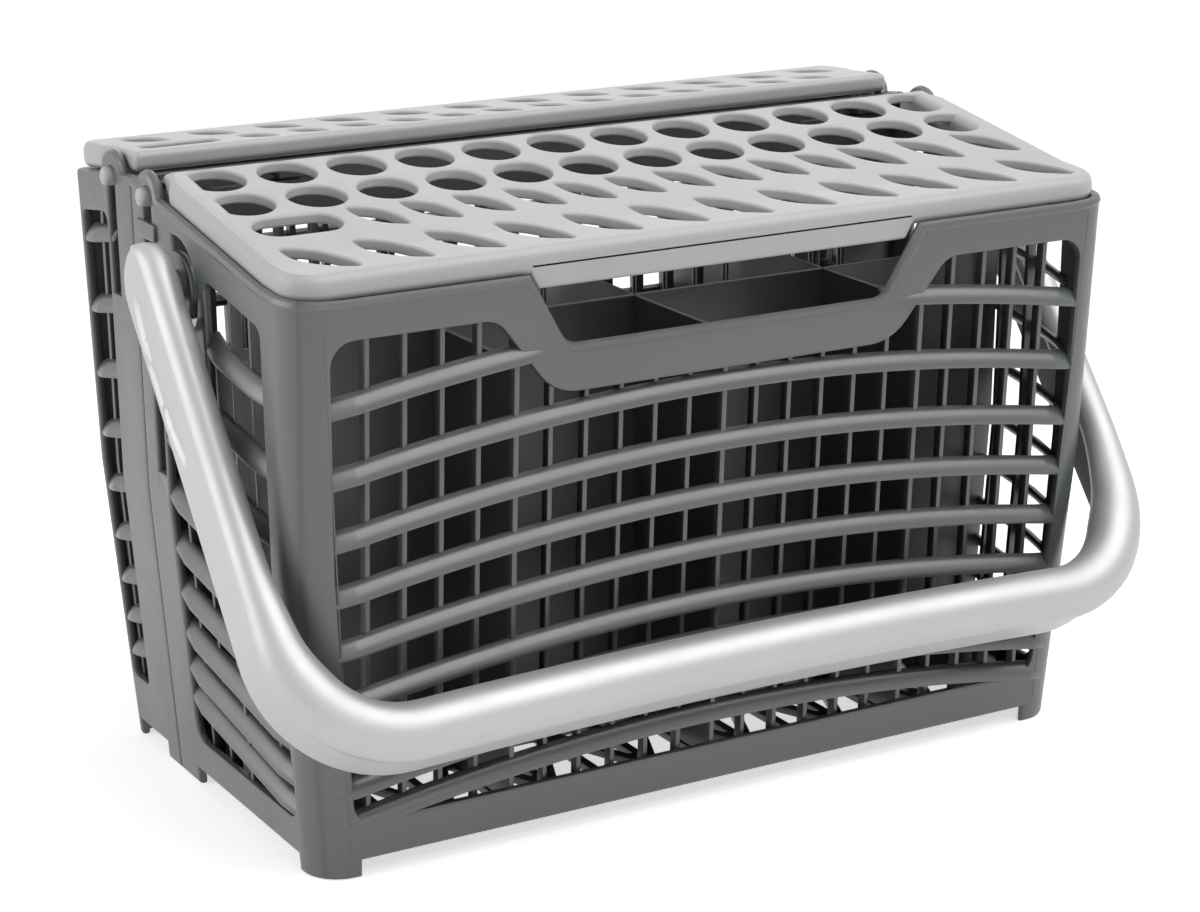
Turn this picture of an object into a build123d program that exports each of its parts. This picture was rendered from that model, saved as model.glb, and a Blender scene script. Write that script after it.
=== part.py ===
from build123d import *
import os
from math import atan2, cos, degrees, radians, sin

# Shell shared by both halves: outside sizes at the foot, the bend and the rim
rim_level = 150.0
rim_width = 240.0
rim_depth = 138.0
bend_level = 80.0
bend_width = 238.6
foot_width = 227.8
foot_depth = 121.4
wall = 2.4
front_corner = 10.0
back_corner = 4.0
floor_top = 10.5
floor_thick = 2.5
foot_lift = 4.5
foot_run = 11.8
seam_foot = 13.0
rear_seam_foot = 9.0
rear_foot = 4.7

# Rim line along the end walls, from front to back
front_rim = 148.9
knee_y = -50.0
knee_rim = 150.2
ridge_rim = 163.1
rear_rim = 158.2

# Parting between the halves, with its drain slots
parting_y = 28.0
parting_gap = 0.2
parting_wall = 1.6
drain_low = 18.0
drain_top = 148.0
drain_web = 1.95
drain_ribs = 2
drain_count = 10

# Upright ribs and dividers
rib_pitch = 9.95
rib_width = 1.9
rib_depth = 3.0
rib_lap = 0.4
ribs_each_side = 10
ribs_per_compartment = 6
divider = 1.6
divider_y = -20.4
divider_top = 127.5

# Lattice of the floor
lattice_ribs = 3
lattice_cells = 6
lattice_bar = 3.2
lattice_edge = 6.0

# Front window, measured up the sloping front face
window_low = 15.0
window_low_half = 104.0
window_top = 139.0
window_top_half = 110.0
window_corner = 5.0
shoulder_half = 66.0
shoulder_corner = 6.0
dip_half = 50.0
dip_level = 118.2
dip_corner = 14.0

# Finger notch in the top band
notch_mouth_half = 57.0
notch_half = 46.5
notch_level = 130.5
notch_corner = 4.0

# Arched bars of the front window, by the level of their crowns' middles
bar_levels = (24.2, 33.5, 45.0, 56.4, 70.7, 84.9, 99.2, 115.0, 132.6)
bar_tall = 4.4
bar_thick = 1.9
bar_rise = 10.6

# End windows of the front half, with rising slats and the plain handle panel
end_front = -50.0
end_rear = 13.0
end_low = 14.0
end_drop = 10.5
panel_front = -17.0
panel_slat = 7
slat_count = 9
slat_first = 15.0
slat_pitch = 8.4
slat_growth = 1.4
slat_slope = 0.16
slat_tall = 4.4
end_rib_first = -39.0
end_rib_pitch = 11.6
end_rib_count = 5

# End windows of the rear half, with falling slats
back_end_front = 46.5
back_end_post = 4.4
back_end_low = 18.0
back_end_drop = 10.3
back_slat_first = 26.5
back_slat_pitch = 10.0
back_slat_growth = 1.3
back_slat_slope = -0.17
back_rib_y = 56.0

# Back window with level bars
back_window_low = 18.0
back_window_top = 146.0
back_window_half = 106.0
back_bar_count = 8

# Lid pins, their ears and slots
pin_diameter = 5.0
pin_fit = 0.05
pin_reach = 122.4
ear_radius = 6.6
front_pin_y = 17.5
front_pin_drop = 1.7
front_slot_low = 87.0
rear_pin_y = 42.0
rear_pin_drop = 0.6
rear_slot_low = 129.5
clip_low = 148.8
clip_tall = 4.6
clip_width = 12.2
clip_proud = 0.9

# Hooks of the rear half in notches of the front half
hook_notch_depth = 4.9
hook_notch_width = 24.0
hook_notch_ends = (-74.0, 107.6)
hook_play = 0.5
hook_neck = 6.0
hook_grip = 8.5
hook_lip = 1.9
hook_tall = 3.0

# Lids
lid_rise = 5.7
lid_seat = 0.3
lid_plate = 4.2
lid_skirt = 2.4
lid_inset = 1.5
lid_ear_gap = 0.9
lid_corner = 9.0
lid_edge = 2.2
lid_front = -66.6
lid_rear = 13.8
ear_relief = 2.0
lug_thick = 2.4
lug_radius = 4.4
tab_drop = 4.2
tab_thick = 2.0
tab_gap = 0.6
rear_lid_front = 32.0
rear_lid_rear = 67.2
rear_lid_front_rise = 5.3
rear_lid_end_rise = 7.8
rear_lid_ridge = ridge_rim + rear_lid_front_rise
rear_lid_end = rear_rim + rear_lid_end_rise

# Openings of the front lid
hole_diameter = 15.5
hole_pitch = 19.38
hole_count = 12
hole_sides = 14
hole_rows = (3.9, -13.6)
leaf_turn = -55.0
leaf_chords = 5
oblong_x = -100.0
oblong_length = 23.0
oblong_width = 12.5
short_row = -28.8
short_leaf_first = -78.6
short_leaf_pitch = 14.6
short_leaf_count = 10
short_leaf = 19.8
short_leaf_width = 8.0
long_leaf_first = 68.0
long_leaf_pitch = 18.8
long_leaf_count = 3
long_leaf = 26.0
long_leaf_width = 9.5
last_row = -53.5
last_leaf_first = -104.5
last_leaf_pitch = 19.1
last_leaf_count = 12
last_leaf = 25.4

# Openings of the rear lid
rear_row = 40.8
rear_oblong_x = -101.0
rear_oblong_width = 8.0
rear_leaf_first = -78.6
rear_leaf_count = 13
rear_leaf = 15.0
rear_leaf_width = 7.5
back_row = 56.2
back_leaf = 20.0

# Handle, in its place in front of the basket
pivot_level = 140.0
pivot_pin = 8.0
pivot_fit = 0.05
pivot_inset = 3.2
stop_radius = 11.0
stop_slot = 3.8
stop_block = 2.8
handle_lean = 38.6
handle_clear = 11.5
handle_half = rim_width / 2 + handle_clear
handle_length = 134.4
handle_corner = 36.5
handle_bow = 3.7
handle_plate = 2.6
plate_width = 17.5
plate_back = 9.0
ridge_thick = 8.9
ridge_bevel = 2.6
grip_thick = 10.0
grip_bow = 5.7
arm_end = 11.0

# Clear length past a wall for a cut that goes right through it
through = 2.0


def between(place, points):
    """Straight-line value at a place, carried on past both ends of the points."""
    for (low, low_value), (high, high_value) in zip(points, points[1:]):
        if place <= high:
            break
    return low_value + (high_value - low_value) * (place - low) / (high - low)


def half_width(level):
    """Half the outside width of the end walls at a level."""
    points = [(0, foot_width / 2), (bend_level, bend_width / 2), (rim_level, rim_width / 2)]
    return between(level, points)


def half_depth(level):
    """Distance of the front or back wall from the middle at a level."""
    return between(level, [(0, foot_depth / 2), (rim_level, rim_depth / 2)])


def rim(y):
    """Height of the rim along the end walls."""
    points = [(-rim_depth / 2, front_rim), (knee_y, knee_rim), (parting_y, ridge_rim)]
    return between(y, points + [(rim_depth / 2, rear_rim)])


front_pin_level = rim(front_pin_y) - front_pin_drop
rear_pin_level = rim(rear_pin_y) - rear_pin_drop
blank_top = ridge_rim + 2 * ear_radius
front_seam = parting_y - parting_gap / 2
rear_seam = parting_y + parting_gap / 2
lean = atan2((rim_depth - foot_depth) / 2, rim_level)
front_face = Plane(
    origin=(0, -foot_depth / 2, 0), x_dir=(1, 0, 0), z_dir=(0, -cos(lean), -sin(lean))
)
back_face = Plane(
    origin=(0, foot_depth / 2, 0), x_dir=(-1, 0, 0), z_dir=(0, cos(lean), -sin(lean))
)


def shell_block(side, seam, inset, seam_inset, bottom, top, corner):
    """Tapered block from the seam to the front (-1) or back (1) wall, moved in from each wall."""
    levels = [bottom, top]
    if bottom < bend_level < top:
        levels.insert(1, bend_level)
    inner_y = seam + side * seam_inset
    ends = [(half_width(level) - inset, level) for level in levels]
    with BuildPart() as block:
        with BuildSketch(Plane.XZ):
            Polygon(*ends, *[(-x, level) for x, level in reversed(ends)], align=None)
        extrude(amount=rim_depth, both=True)
        with BuildSketch(Plane.YZ):
            Polygon(
                (inner_y, bottom),
                (side * (half_depth(bottom) - inset), bottom),
                (side * (half_depth(top) - inset), top),
                (inner_y, top),
                align=None,
            )
        extrude(amount=rim_width, both=True, mode=Mode.INTERSECT)
        if corner:
            upright_face = block.faces().sort_by(Axis.Y)[0 if side < 0 else -1]
            fillet(upright_face.edges().filter_by(Axis.X, reverse=True), radius=corner)
    return block.part


def rim_cut(pin_y, pin_level):
    """Sketch of all that lies above the rim, apart from the ear round a lid pin."""
    ends = 2 * rim_depth
    Polygon(
        (-ends, rim(-ends)),
        (knee_y, knee_rim),
        (parting_y, ridge_rim),
        (ends, rim(ends)),
        (ends, 2 * blank_top),
        (-ends, 2 * blank_top),
        align=None,
    )
    with Locations((pin_y, pin_level)):
        Circle(ear_radius, mode=Mode.SUBTRACT)


def pin_slot(pin_y, pin_level, slot_low):
    """Sketch of the upright slot that ends round a lid pin."""
    slot_width = pin_diameter + 2 * pin_fit
    with Locations((pin_y, (slot_low + pin_level) / 2)):
        Rectangle(slot_width, pin_level - slot_low)
    with Locations((pin_y, pin_level)):
        Circle(slot_width / 2)


def stepped(index, first, pitch, growth):
    """Level of one bar in a row whose spacing grows upwards."""
    return first + pitch * index + growth * index * (index - 1) / 2


def sloping_slats(y_from, y_to, first, pitch, growth, slope, mode):
    """Sketch of the slats of an end window."""
    run = y_to - y_from
    for index in range(slat_count):
        low = stepped(index, first, pitch, growth)
        Polygon(
            (y_from - through, low - slope * through),
            (y_to + through, low + slope * (run + through)),
            (y_to + through, low + slope * (run + through) + slat_tall),
            (y_from - through, low - slope * through + slat_tall),
            align=None,
            mode=mode,
        )


def end_rib(bottom, top):
    """Sketch of one upright rib against each end wall, following the bend."""
    levels = [bottom, bend_level, top]
    outer = [(half_width(level) - wall + rib_lap, level) for level in levels]
    inner = [(x - rib_depth, level) for x, level in outer]
    Polygon(*outer, *reversed(inner), align=None)
    mirror(about=Plane.YZ)


def lattice(row_edges):
    """Sketch of the triangular openings of a floor, with bars under the dividers."""
    length = lattice_ribs * rib_pitch
    half_bar = lattice_bar / 2
    right = length / 2 - half_bar
    for row, (row_front, row_back) in enumerate(zip(row_edges, row_edges[1:])):
        back = (row_back - row_front) / 2 - half_bar
        slant = atan2(back, right)
        along = half_bar / sin(slant)
        across = half_bar / cos(slant)
        lower = [(-right + along, -back), (right, -back), (right, back - across)]
        upper = [(-right, -back + across), (right - along, back), (-right, back)]
        y = (row_front + row_back) / 2
        for cell in range(lattice_cells):
            flip = 1 if (row + cell) % 2 else -1
            x = (cell - (lattice_cells - 1) / 2) * length
            for corners in (lower, upper):
                Polygon(*[(x + flip * u, y + v) for u, v in corners], align=None)


def drain_slots():
    """Sketch of the upright slots of a parting wall."""
    with Locations((0, (drain_low + drain_top) / 2)):
        with GridLocations(drain_ribs * rib_pitch, 1, drain_count, 1):
            Rectangle(drain_ribs * rib_pitch - drain_web, drain_top - drain_low)


def cross_dividers(side, seam):
    """Profile of the dividers that run from the front or back wall to the parting wall."""
    low = floor_top - floor_thick / 2
    return [
        (side * (half_depth(low) - wall), low),
        (side * (half_depth(divider_top) - wall), divider_top),
        (seam + side * parting_wall / 2, divider_top),
        (seam + side * parting_wall / 2, low),
    ]


def leaf_outline(length, width):
    """Sketch of a pointed oval opening, each side in a few short chords."""
    steps = [2 * step / leaf_chords - 1 for step in range(leaf_chords)]
    upper = [(length / 2 * u, width / 2 * (1 - u * u)) for u in steps]
    with BuildSketch() as leaf:
        Polygon(*upper, *[(-x, -y) for x, y in upper], align=None)
    return leaf.sketch


def row_of(first, pitch, count, y):
    """Places of a row of openings."""
    return [(first + pitch * index, y) for index in range(count)]


# Front half
front_blank = shell_block(-1, front_seam, 0, 0, 0, blank_top, front_corner)
front_hollow = shell_block(
    -1, front_seam, wall, parting_wall, floor_top, 2 * blank_top, front_corner - wall
)
front_under = shell_block(
    -1, front_seam, wall, parting_wall, -through, floor_top - floor_thick, front_corner - wall
)
front_slat_back = shell_block(
    -1, front_seam, bar_thick, parting_wall, floor_top, 2 * blank_top, front_corner - bar_thick
)
panel_low = stepped(panel_slat, slat_first, slat_pitch, slat_growth) + slat_tall / 2

with BuildSketch() as front_window:
    with BuildLine():
        FilletPolyline(
            (-window_low_half, window_low),
            (window_low_half, window_low),
            (window_top_half, window_top),
            (shoulder_half, window_top),
            (dip_half, dip_level),
            (-dip_half, dip_level),
            (-shoulder_half, window_top),
            (-window_top_half, window_top),
            radius=[0, 0, window_corner, shoulder_corner, dip_corner]
            + [dip_corner, shoulder_corner, window_corner],
            close=True,
        )
    make_face()

with BuildSketch() as front_end_window:
    Polygon(
        (end_front, end_low),
        (end_rear, end_low),
        (end_rear, panel_low + slat_slope * (end_rear - end_front)),
        (panel_front, panel_low + slat_slope * (panel_front - end_front)),
        (panel_front, rim(panel_front) - end_drop),
        (end_front, rim(end_front) - end_drop),
        align=None,
    )

# What is cut from the inside of the end windows, so that the slats clear the ribs
with BuildPart() as front_end_relief:
    add(front_slat_back)
    with BuildSketch(Plane.YZ):
        add(front_end_window.sketch)
    extrude(amount=rim_width, both=True, mode=Mode.INTERSECT)

with BuildPart() as front_basket:
    add(front_blank)
    add(front_hollow, mode=Mode.SUBTRACT)
    add(front_under, mode=Mode.SUBTRACT)
    with BuildSketch(Plane.YZ):
        rim_cut(front_pin_y, front_pin_level)
    extrude(amount=rim_width, both=True, mode=Mode.SUBTRACT)

    # Front window with its arched bars left standing in the outer part of the wall
    with BuildSketch(front_face.offset(-bar_thick)):
        add(front_window.sketch)
    extrude(amount=-wall, mode=Mode.SUBTRACT)
    with BuildSketch(front_face):
        add(front_window.sketch)
        span = window_top_half + through
        for level in bar_levels:
            low = level - bar_rise - bar_tall / 2
            with BuildLine():
                lower = ThreePointArc((-span, low), (0, low + bar_rise), (span, low))
                upper = ThreePointArc(
                    (-span, low + bar_tall), (0, low + bar_rise + bar_tall), (span, low + bar_tall)
                )
                Line(lower @ 0, upper @ 0)
                Line(lower @ 1, upper @ 1)
            make_face(mode=Mode.SUBTRACT)
    extrude(amount=-wall, mode=Mode.SUBTRACT)

    # Finger notch
    with BuildSketch(front_face):
        with BuildLine():
            FilletPolyline(
                (-notch_mouth_half, blank_top),
                (-notch_mouth_half, front_rim),
                (-notch_half, notch_level),
                (notch_half, notch_level),
                (notch_mouth_half, front_rim),
                (notch_mouth_half, blank_top),
                radius=[0, 0, notch_corner, notch_corner, 0, 0],
                close=True,
            )
        make_face()
    extrude(amount=-(wall + through), mode=Mode.SUBTRACT)

    # End windows with rising slats, in front of and below the handle panel
    add(front_end_relief.part, mode=Mode.SUBTRACT)
    with BuildSketch(Plane.YZ):
        add(front_end_window.sketch)
        sloping_slats(
            end_front, end_rear, slat_first, slat_pitch, slat_growth, slat_slope, Mode.SUBTRACT
        )
    extrude(amount=rim_width, both=True, mode=Mode.SUBTRACT)

    # Lid pin slots, handle pivots and the curved slots that stop the handle at both ends
    stop_ease = degrees(atan2(stop_slot / 2, stop_radius))
    stop_sweep = (90 - stop_ease, 180 - handle_lean + 2 * stop_ease)
    with BuildSketch(Plane.YZ):
        pin_slot(front_pin_y, front_pin_level, front_slot_low)
        with Locations((0, pivot_level)):
            Circle(pivot_pin / 2 + pivot_fit)
        with BuildLine():
            outer_stop = CenterArc((0, pivot_level), stop_radius + stop_slot / 2, *stop_sweep)
            inner_stop = CenterArc((0, pivot_level), stop_radius - stop_slot / 2, *stop_sweep)
            Line(outer_stop @ 0, inner_stop @ 0)
            Line(outer_stop @ 1, inner_stop @ 1)
        make_face()
    extrude(amount=rim_width, both=True, mode=Mode.SUBTRACT)

    # Clip that holds the lid pin up at the top of its slot
    with BuildSketch(Plane.XZ.offset(-(front_pin_y - clip_width / 2))):
        with Locations((0, clip_low + clip_tall / 2)):
            Rectangle(2 * (half_width(clip_low) + clip_proud), clip_tall)
            Rectangle(2 * (half_width(clip_low) - wall), clip_tall, mode=Mode.SUBTRACT)
    extrude(amount=-clip_width)

    # Feet left at the corners
    with BuildSketch(Plane.XZ):
        Rectangle(foot_width - 2 * foot_run, 2 * foot_lift)
    extrude(amount=rim_depth, both=True, mode=Mode.SUBTRACT)
    with BuildSketch(Plane.YZ):
        foot_from = foot_run - foot_depth / 2
        foot_to = parting_y - seam_foot
        with Locations(((foot_from + foot_to) / 2, 0)):
            Rectangle(foot_to - foot_from, 2 * foot_lift)
    extrude(amount=rim_width, both=True, mode=Mode.SUBTRACT)

    # Floor lattice
    with BuildSketch(Plane.XY.offset(floor_top)):
        lattice([lattice_edge - foot_depth / 2, divider_y, parting_y - lattice_edge])
    extrude(amount=-2 * floor_thick, mode=Mode.SUBTRACT)

    # Parting wall: drain slots and the notches for the hooks
    with BuildSketch(Plane.XZ.offset(-parting_y)):
        drain_slots()
        for notch_end in hook_notch_ends:
            with Locations((notch_end - hook_notch_width / 2, ridge_rim)):
                Rectangle(hook_notch_width, 2 * hook_notch_depth)
    extrude(amount=parting_gap + parting_wall + through, mode=Mode.SUBTRACT)

    # Upright ribs behind the front bars
    with BuildSketch(front_face.offset(rib_lap - wall)):
        rib_low = floor_top - floor_thick / 2
        for index in range(-ribs_each_side, ribs_each_side + 1):
            x = index * rib_pitch
            band_low = dip_level if abs(x) < notch_mouth_half else window_top
            rib_top = band_low + bar_tall
            with Locations((x, (rib_low + rib_top) / 2)):
                Rectangle(rib_width, rib_top - rib_low)
    extrude(amount=-rib_depth)

    # Upright ribs behind the end slats
    for index in range(end_rib_count):
        rib_y = end_rib_first + index * end_rib_pitch
        window_end = rim(rib_y) - end_drop
        if rib_y > panel_front - rib_width:
            window_end = panel_low + slat_slope * (rib_y - end_front)
        with BuildSketch(Plane.XZ.offset(-rib_y)):
            end_rib(floor_top - floor_thick / 2, window_end + slat_tall)
        extrude(amount=rib_width / 2, both=True)

    # Dividers
    with BuildSketch(Plane.XZ.offset(-divider_y)):
        levels = [floor_top - floor_thick / 2, bend_level, divider_top]
        edge = [(half_width(level) - wall + rib_lap, level) for level in levels]
        Polygon(*edge, *[(-x, level) for x, level in reversed(edge)], align=None)
    extrude(amount=divider / 2, both=True)
    for column in (-1, 0, 1):
        with BuildSketch(Plane.YZ.offset(column * ribs_per_compartment * rib_pitch)):
            Polygon(*cross_dividers(-1, front_seam), align=None)
        extrude(amount=divider / 2, both=True)

# Rear half
rear_blank = shell_block(1, rear_seam, 0, 0, 0, blank_top, back_corner)
rear_hollow = shell_block(1, rear_seam, wall, parting_wall, floor_top, 2 * blank_top, 0)
rear_under = shell_block(
    1, rear_seam, wall, parting_wall, -through, floor_top - floor_thick, 0
)
rear_slat_back = shell_block(1, rear_seam, bar_thick, parting_wall, floor_top, 2 * blank_top, 0)

with BuildSketch() as rear_end_window:
    window_end = rim(back_end_front) - back_end_drop
    Polygon(
        (back_end_front, back_end_low),
        (half_depth(back_end_low) - back_end_post, back_end_low),
        (half_depth(window_end) - back_end_post, rim(rim_depth / 2) - back_end_drop),
        (back_end_front, window_end),
        align=None,
    )

# What is cut from the inside of the end windows, so that the slats clear the ribs
with BuildPart() as rear_end_relief:
    add(rear_slat_back)
    with BuildSketch(Plane.YZ):
        add(rear_end_window.sketch)
    extrude(amount=rim_width, both=True, mode=Mode.INTERSECT)

with BuildPart() as rear_basket:
    add(rear_blank)
    add(rear_hollow, mode=Mode.SUBTRACT)
    add(rear_under, mode=Mode.SUBTRACT)
    with BuildSketch(Plane.YZ):
        rim_cut(rear_pin_y, rear_pin_level)
    extrude(amount=rim_width, both=True, mode=Mode.SUBTRACT)

    # Back window with level bars left standing in the outer part of the wall
    with BuildSketch(back_face.offset(-bar_thick)):
        with Locations((0, (back_window_low + back_window_top) / 2)):
            Rectangle(2 * back_window_half, back_window_top - back_window_low)
    extrude(amount=-wall, mode=Mode.SUBTRACT)
    with BuildSketch(back_face):
        gap_pitch = (back_window_top - back_window_low + bar_tall) / (back_bar_count + 1)
        with Locations((0, (back_window_low + back_window_top) / 2)):
            with GridLocations(1, gap_pitch, 1, back_bar_count + 1):
                Rectangle(2 * back_window_half, gap_pitch - bar_tall)
    extrude(amount=-wall, mode=Mode.SUBTRACT)

    # End windows with falling slats
    add(rear_end_relief.part, mode=Mode.SUBTRACT)
    with BuildSketch(Plane.YZ):
        add(rear_end_window.sketch)
        sloping_slats(
            back_end_front,
            rim_depth / 2,
            back_slat_first,
            back_slat_pitch,
            back_slat_growth,
            back_slat_slope,
            Mode.SUBTRACT,
        )
    extrude(amount=rim_width, both=True, mode=Mode.SUBTRACT)

    # Lid pin slots
    with BuildSketch(Plane.YZ):
        pin_slot(rear_pin_y, rear_pin_level, rear_slot_low)
    extrude(amount=rim_width, both=True, mode=Mode.SUBTRACT)

    # Feet left at the corners
    with BuildSketch(Plane.XZ):
        Rectangle(foot_width - 2 * foot_run, 2 * foot_lift)
    extrude(amount=rim_depth, both=True, mode=Mode.SUBTRACT)
    with BuildSketch(Plane.YZ):
        foot_from = parting_y + rear_seam_foot
        foot_to = foot_depth / 2 - rear_foot
        with Locations(((foot_from + foot_to) / 2, 0)):
            Rectangle(foot_to - foot_from, 2 * foot_lift)
    extrude(amount=rim_width, both=True, mode=Mode.SUBTRACT)

    # Floor lattice
    with BuildSketch(Plane.XY.offset(floor_top)):
        lattice([parting_y + lattice_edge, foot_depth / 2 - lattice_edge])
    extrude(amount=-2 * floor_thick, mode=Mode.SUBTRACT)

    # Parting wall
    with BuildSketch(Plane.XZ.offset(-parting_y)):
        drain_slots()
    extrude(amount=-(parting_gap + parting_wall + through), mode=Mode.SUBTRACT)

    # Upright ribs behind the back bars and the end slats
    with BuildSketch(back_face.offset(rib_lap - wall)):
        rib_low = floor_top - floor_thick / 2
        rib_top = back_window_top + bar_tall
        with Locations((0, (rib_low + rib_top) / 2)):
            with GridLocations(rib_pitch, 1, 2 * ribs_each_side + 1, 1):
                Rectangle(rib_width, rib_top - rib_low)
    extrude(amount=-rib_depth)
    with BuildSketch(Plane.XZ.offset(-back_rib_y)):
        end_rib(floor_top - floor_thick / 2, rim(back_rib_y) - back_end_drop + slat_tall)
    extrude(amount=rib_width / 2, both=True)

    # Dividers
    for column in (-1, 0, 1):
        with BuildSketch(Plane.YZ.offset(column * ribs_per_compartment * rib_pitch)):
            Polygon(*cross_dividers(1, rear_seam), align=None)
        extrude(amount=divider / 2, both=True)

    # Hooks that reach through the notches and grip behind the front parting wall
    with BuildSketch(Plane.XY.offset(ridge_rim - hook_notch_depth + hook_play)):
        lip_back = front_seam - parting_wall - hook_play
        for notch_end in hook_notch_ends:
            neck_end = notch_end - hook_play
            Polygon(
                (neck_end - hook_neck, rear_seam + parting_wall / 2),
                (neck_end - hook_neck, lip_back - hook_lip),
                (notch_end + hook_grip, lip_back - hook_lip),
                (notch_end + hook_grip, lip_back),
                (neck_end, lip_back),
                (neck_end, rear_seam + parting_wall / 2),
                align=None,
            )
    extrude(amount=hook_tall)

# Lids
lid_half = rim_width / 2 - lid_inset
ear_half = half_width(front_pin_level) - wall - lid_ear_gap
leaves_short = leaf_outline(short_leaf, short_leaf_width)
leaves_long = leaf_outline(long_leaf, long_leaf_width)
leaves_last = leaf_outline(last_leaf, long_leaf_width)
leaves_rear = leaf_outline(rear_leaf, rear_leaf_width)
leaves_back = leaf_outline(back_leaf, long_leaf_width)

with BuildPart() as front_lid:
    with BuildSketch(Plane.YZ):
        lid_bottom = [(y, rim(y) + lid_seat) for y in (lid_front, knee_y, lid_rear)]
        lid_top = [(y, rim(y) + lid_rise) for y in (lid_rear, knee_y, lid_front)]
        Polygon(*lid_bottom, *lid_top, align=None)
    extrude(amount=lid_half, both=True)
    fillet(front_lid.edges().filter_by(Axis.Z).group_by(Axis.Y)[0], radius=lid_corner)
    with BuildSketch(Plane.YZ):
        hollow_ends = (lid_front + lid_skirt, lid_rear - lid_skirt)
        hollow_low = [(y, rim(y) - through) for y in (hollow_ends[0], knee_y, hollow_ends[1])]
        hollow_top = [
            (y, rim(y) + lid_rise - lid_plate) for y in (hollow_ends[1], knee_y, hollow_ends[0])
        ]
        Polygon(*hollow_low, *hollow_top, align=None)
    extrude(amount=ear_half - lid_skirt, both=True, mode=Mode.SUBTRACT)

    # Narrow end between the ears
    with BuildSketch(Plane.XY):
        ear_front = front_pin_y - ear_radius - ear_relief
        with Locations((0, (ear_front + lid_rear + through) / 2)):
            Rectangle(rim_width, lid_rear + through - ear_front)
            Rectangle(2 * ear_half, lid_rear + through - ear_front, mode=Mode.SUBTRACT)
    extrude(amount=2 * blank_top, mode=Mode.SUBTRACT)

    # Round holes, leaves and the oblong
    with BuildSketch(Plane.XY):
        for row in hole_rows:
            with Locations((0, row)):
                with GridLocations(hole_pitch, 1, hole_count, 1):
                    RegularPolygon(hole_diameter / 2, hole_sides)
        with Locations((oblong_x, short_row)):
            SlotOverall(oblong_length, oblong_width)
        with Locations(*row_of(short_leaf_first, short_leaf_pitch, short_leaf_count, short_row)):
            add(leaves_short, rotation=leaf_turn)
        with Locations(*row_of(long_leaf_first, long_leaf_pitch, long_leaf_count, short_row)):
            add(leaves_long, rotation=leaf_turn)
        with Locations(*row_of(last_leaf_first, last_leaf_pitch, last_leaf_count, last_row)):
            add(leaves_last, rotation=leaf_turn)
    extrude(amount=2 * blank_top, mode=Mode.SUBTRACT)

    # Tab that hangs in the finger notch
    with BuildSketch(Plane.XZ.offset(-lid_front)):
        tab_low = front_rim - tab_drop
        notch_side = (notch_mouth_half - notch_half) / (front_rim - notch_level)
        tab_half = notch_half + notch_side * (tab_low - notch_level) - tab_gap
        mouth = notch_mouth_half - tab_gap
        Polygon(
            (-tab_half, tab_low),
            (tab_half, tab_low),
            (mouth, front_rim),
            (mouth, rim(lid_front) + lid_rise - lid_edge),
            (-mouth, rim(lid_front) + lid_rise - lid_edge),
            (-mouth, front_rim),
            align=None,
        )
    extrude(amount=-tab_thick)

    # Lug inside each end wall, and the pin on it that passes through the wall
    lug_outline = [
        (lid_rear - lid_skirt, rim(lid_rear - lid_skirt) + lid_seat),
        (front_pin_y - lug_radius / 2, front_pin_level - lug_radius),
        (front_pin_y + lug_radius / 2, front_pin_level - lug_radius),
        (front_pin_y + lug_radius, front_pin_level - lug_radius / 2),
        (front_pin_y + lug_radius, front_pin_level + lug_radius / 2),
        (lid_rear, rim(lid_rear) + lid_rise - lid_edge),
        (lid_rear - lid_skirt, rim(lid_rear - lid_skirt) + lid_rise - lid_edge),
    ]
    for side in (-1, 1):
        with BuildSketch(Plane.YZ.offset(side * (ear_half - lug_thick))):
            Polygon(*lug_outline, align=None)
        extrude(amount=side * lug_thick)
        with BuildSketch(Plane.YZ.offset(side * (ear_half - lug_thick))):
            with Locations((front_pin_y, front_pin_level)):
                Circle(pin_diameter / 2)
        extrude(amount=side * (pin_reach - ear_half + lug_thick))

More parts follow.
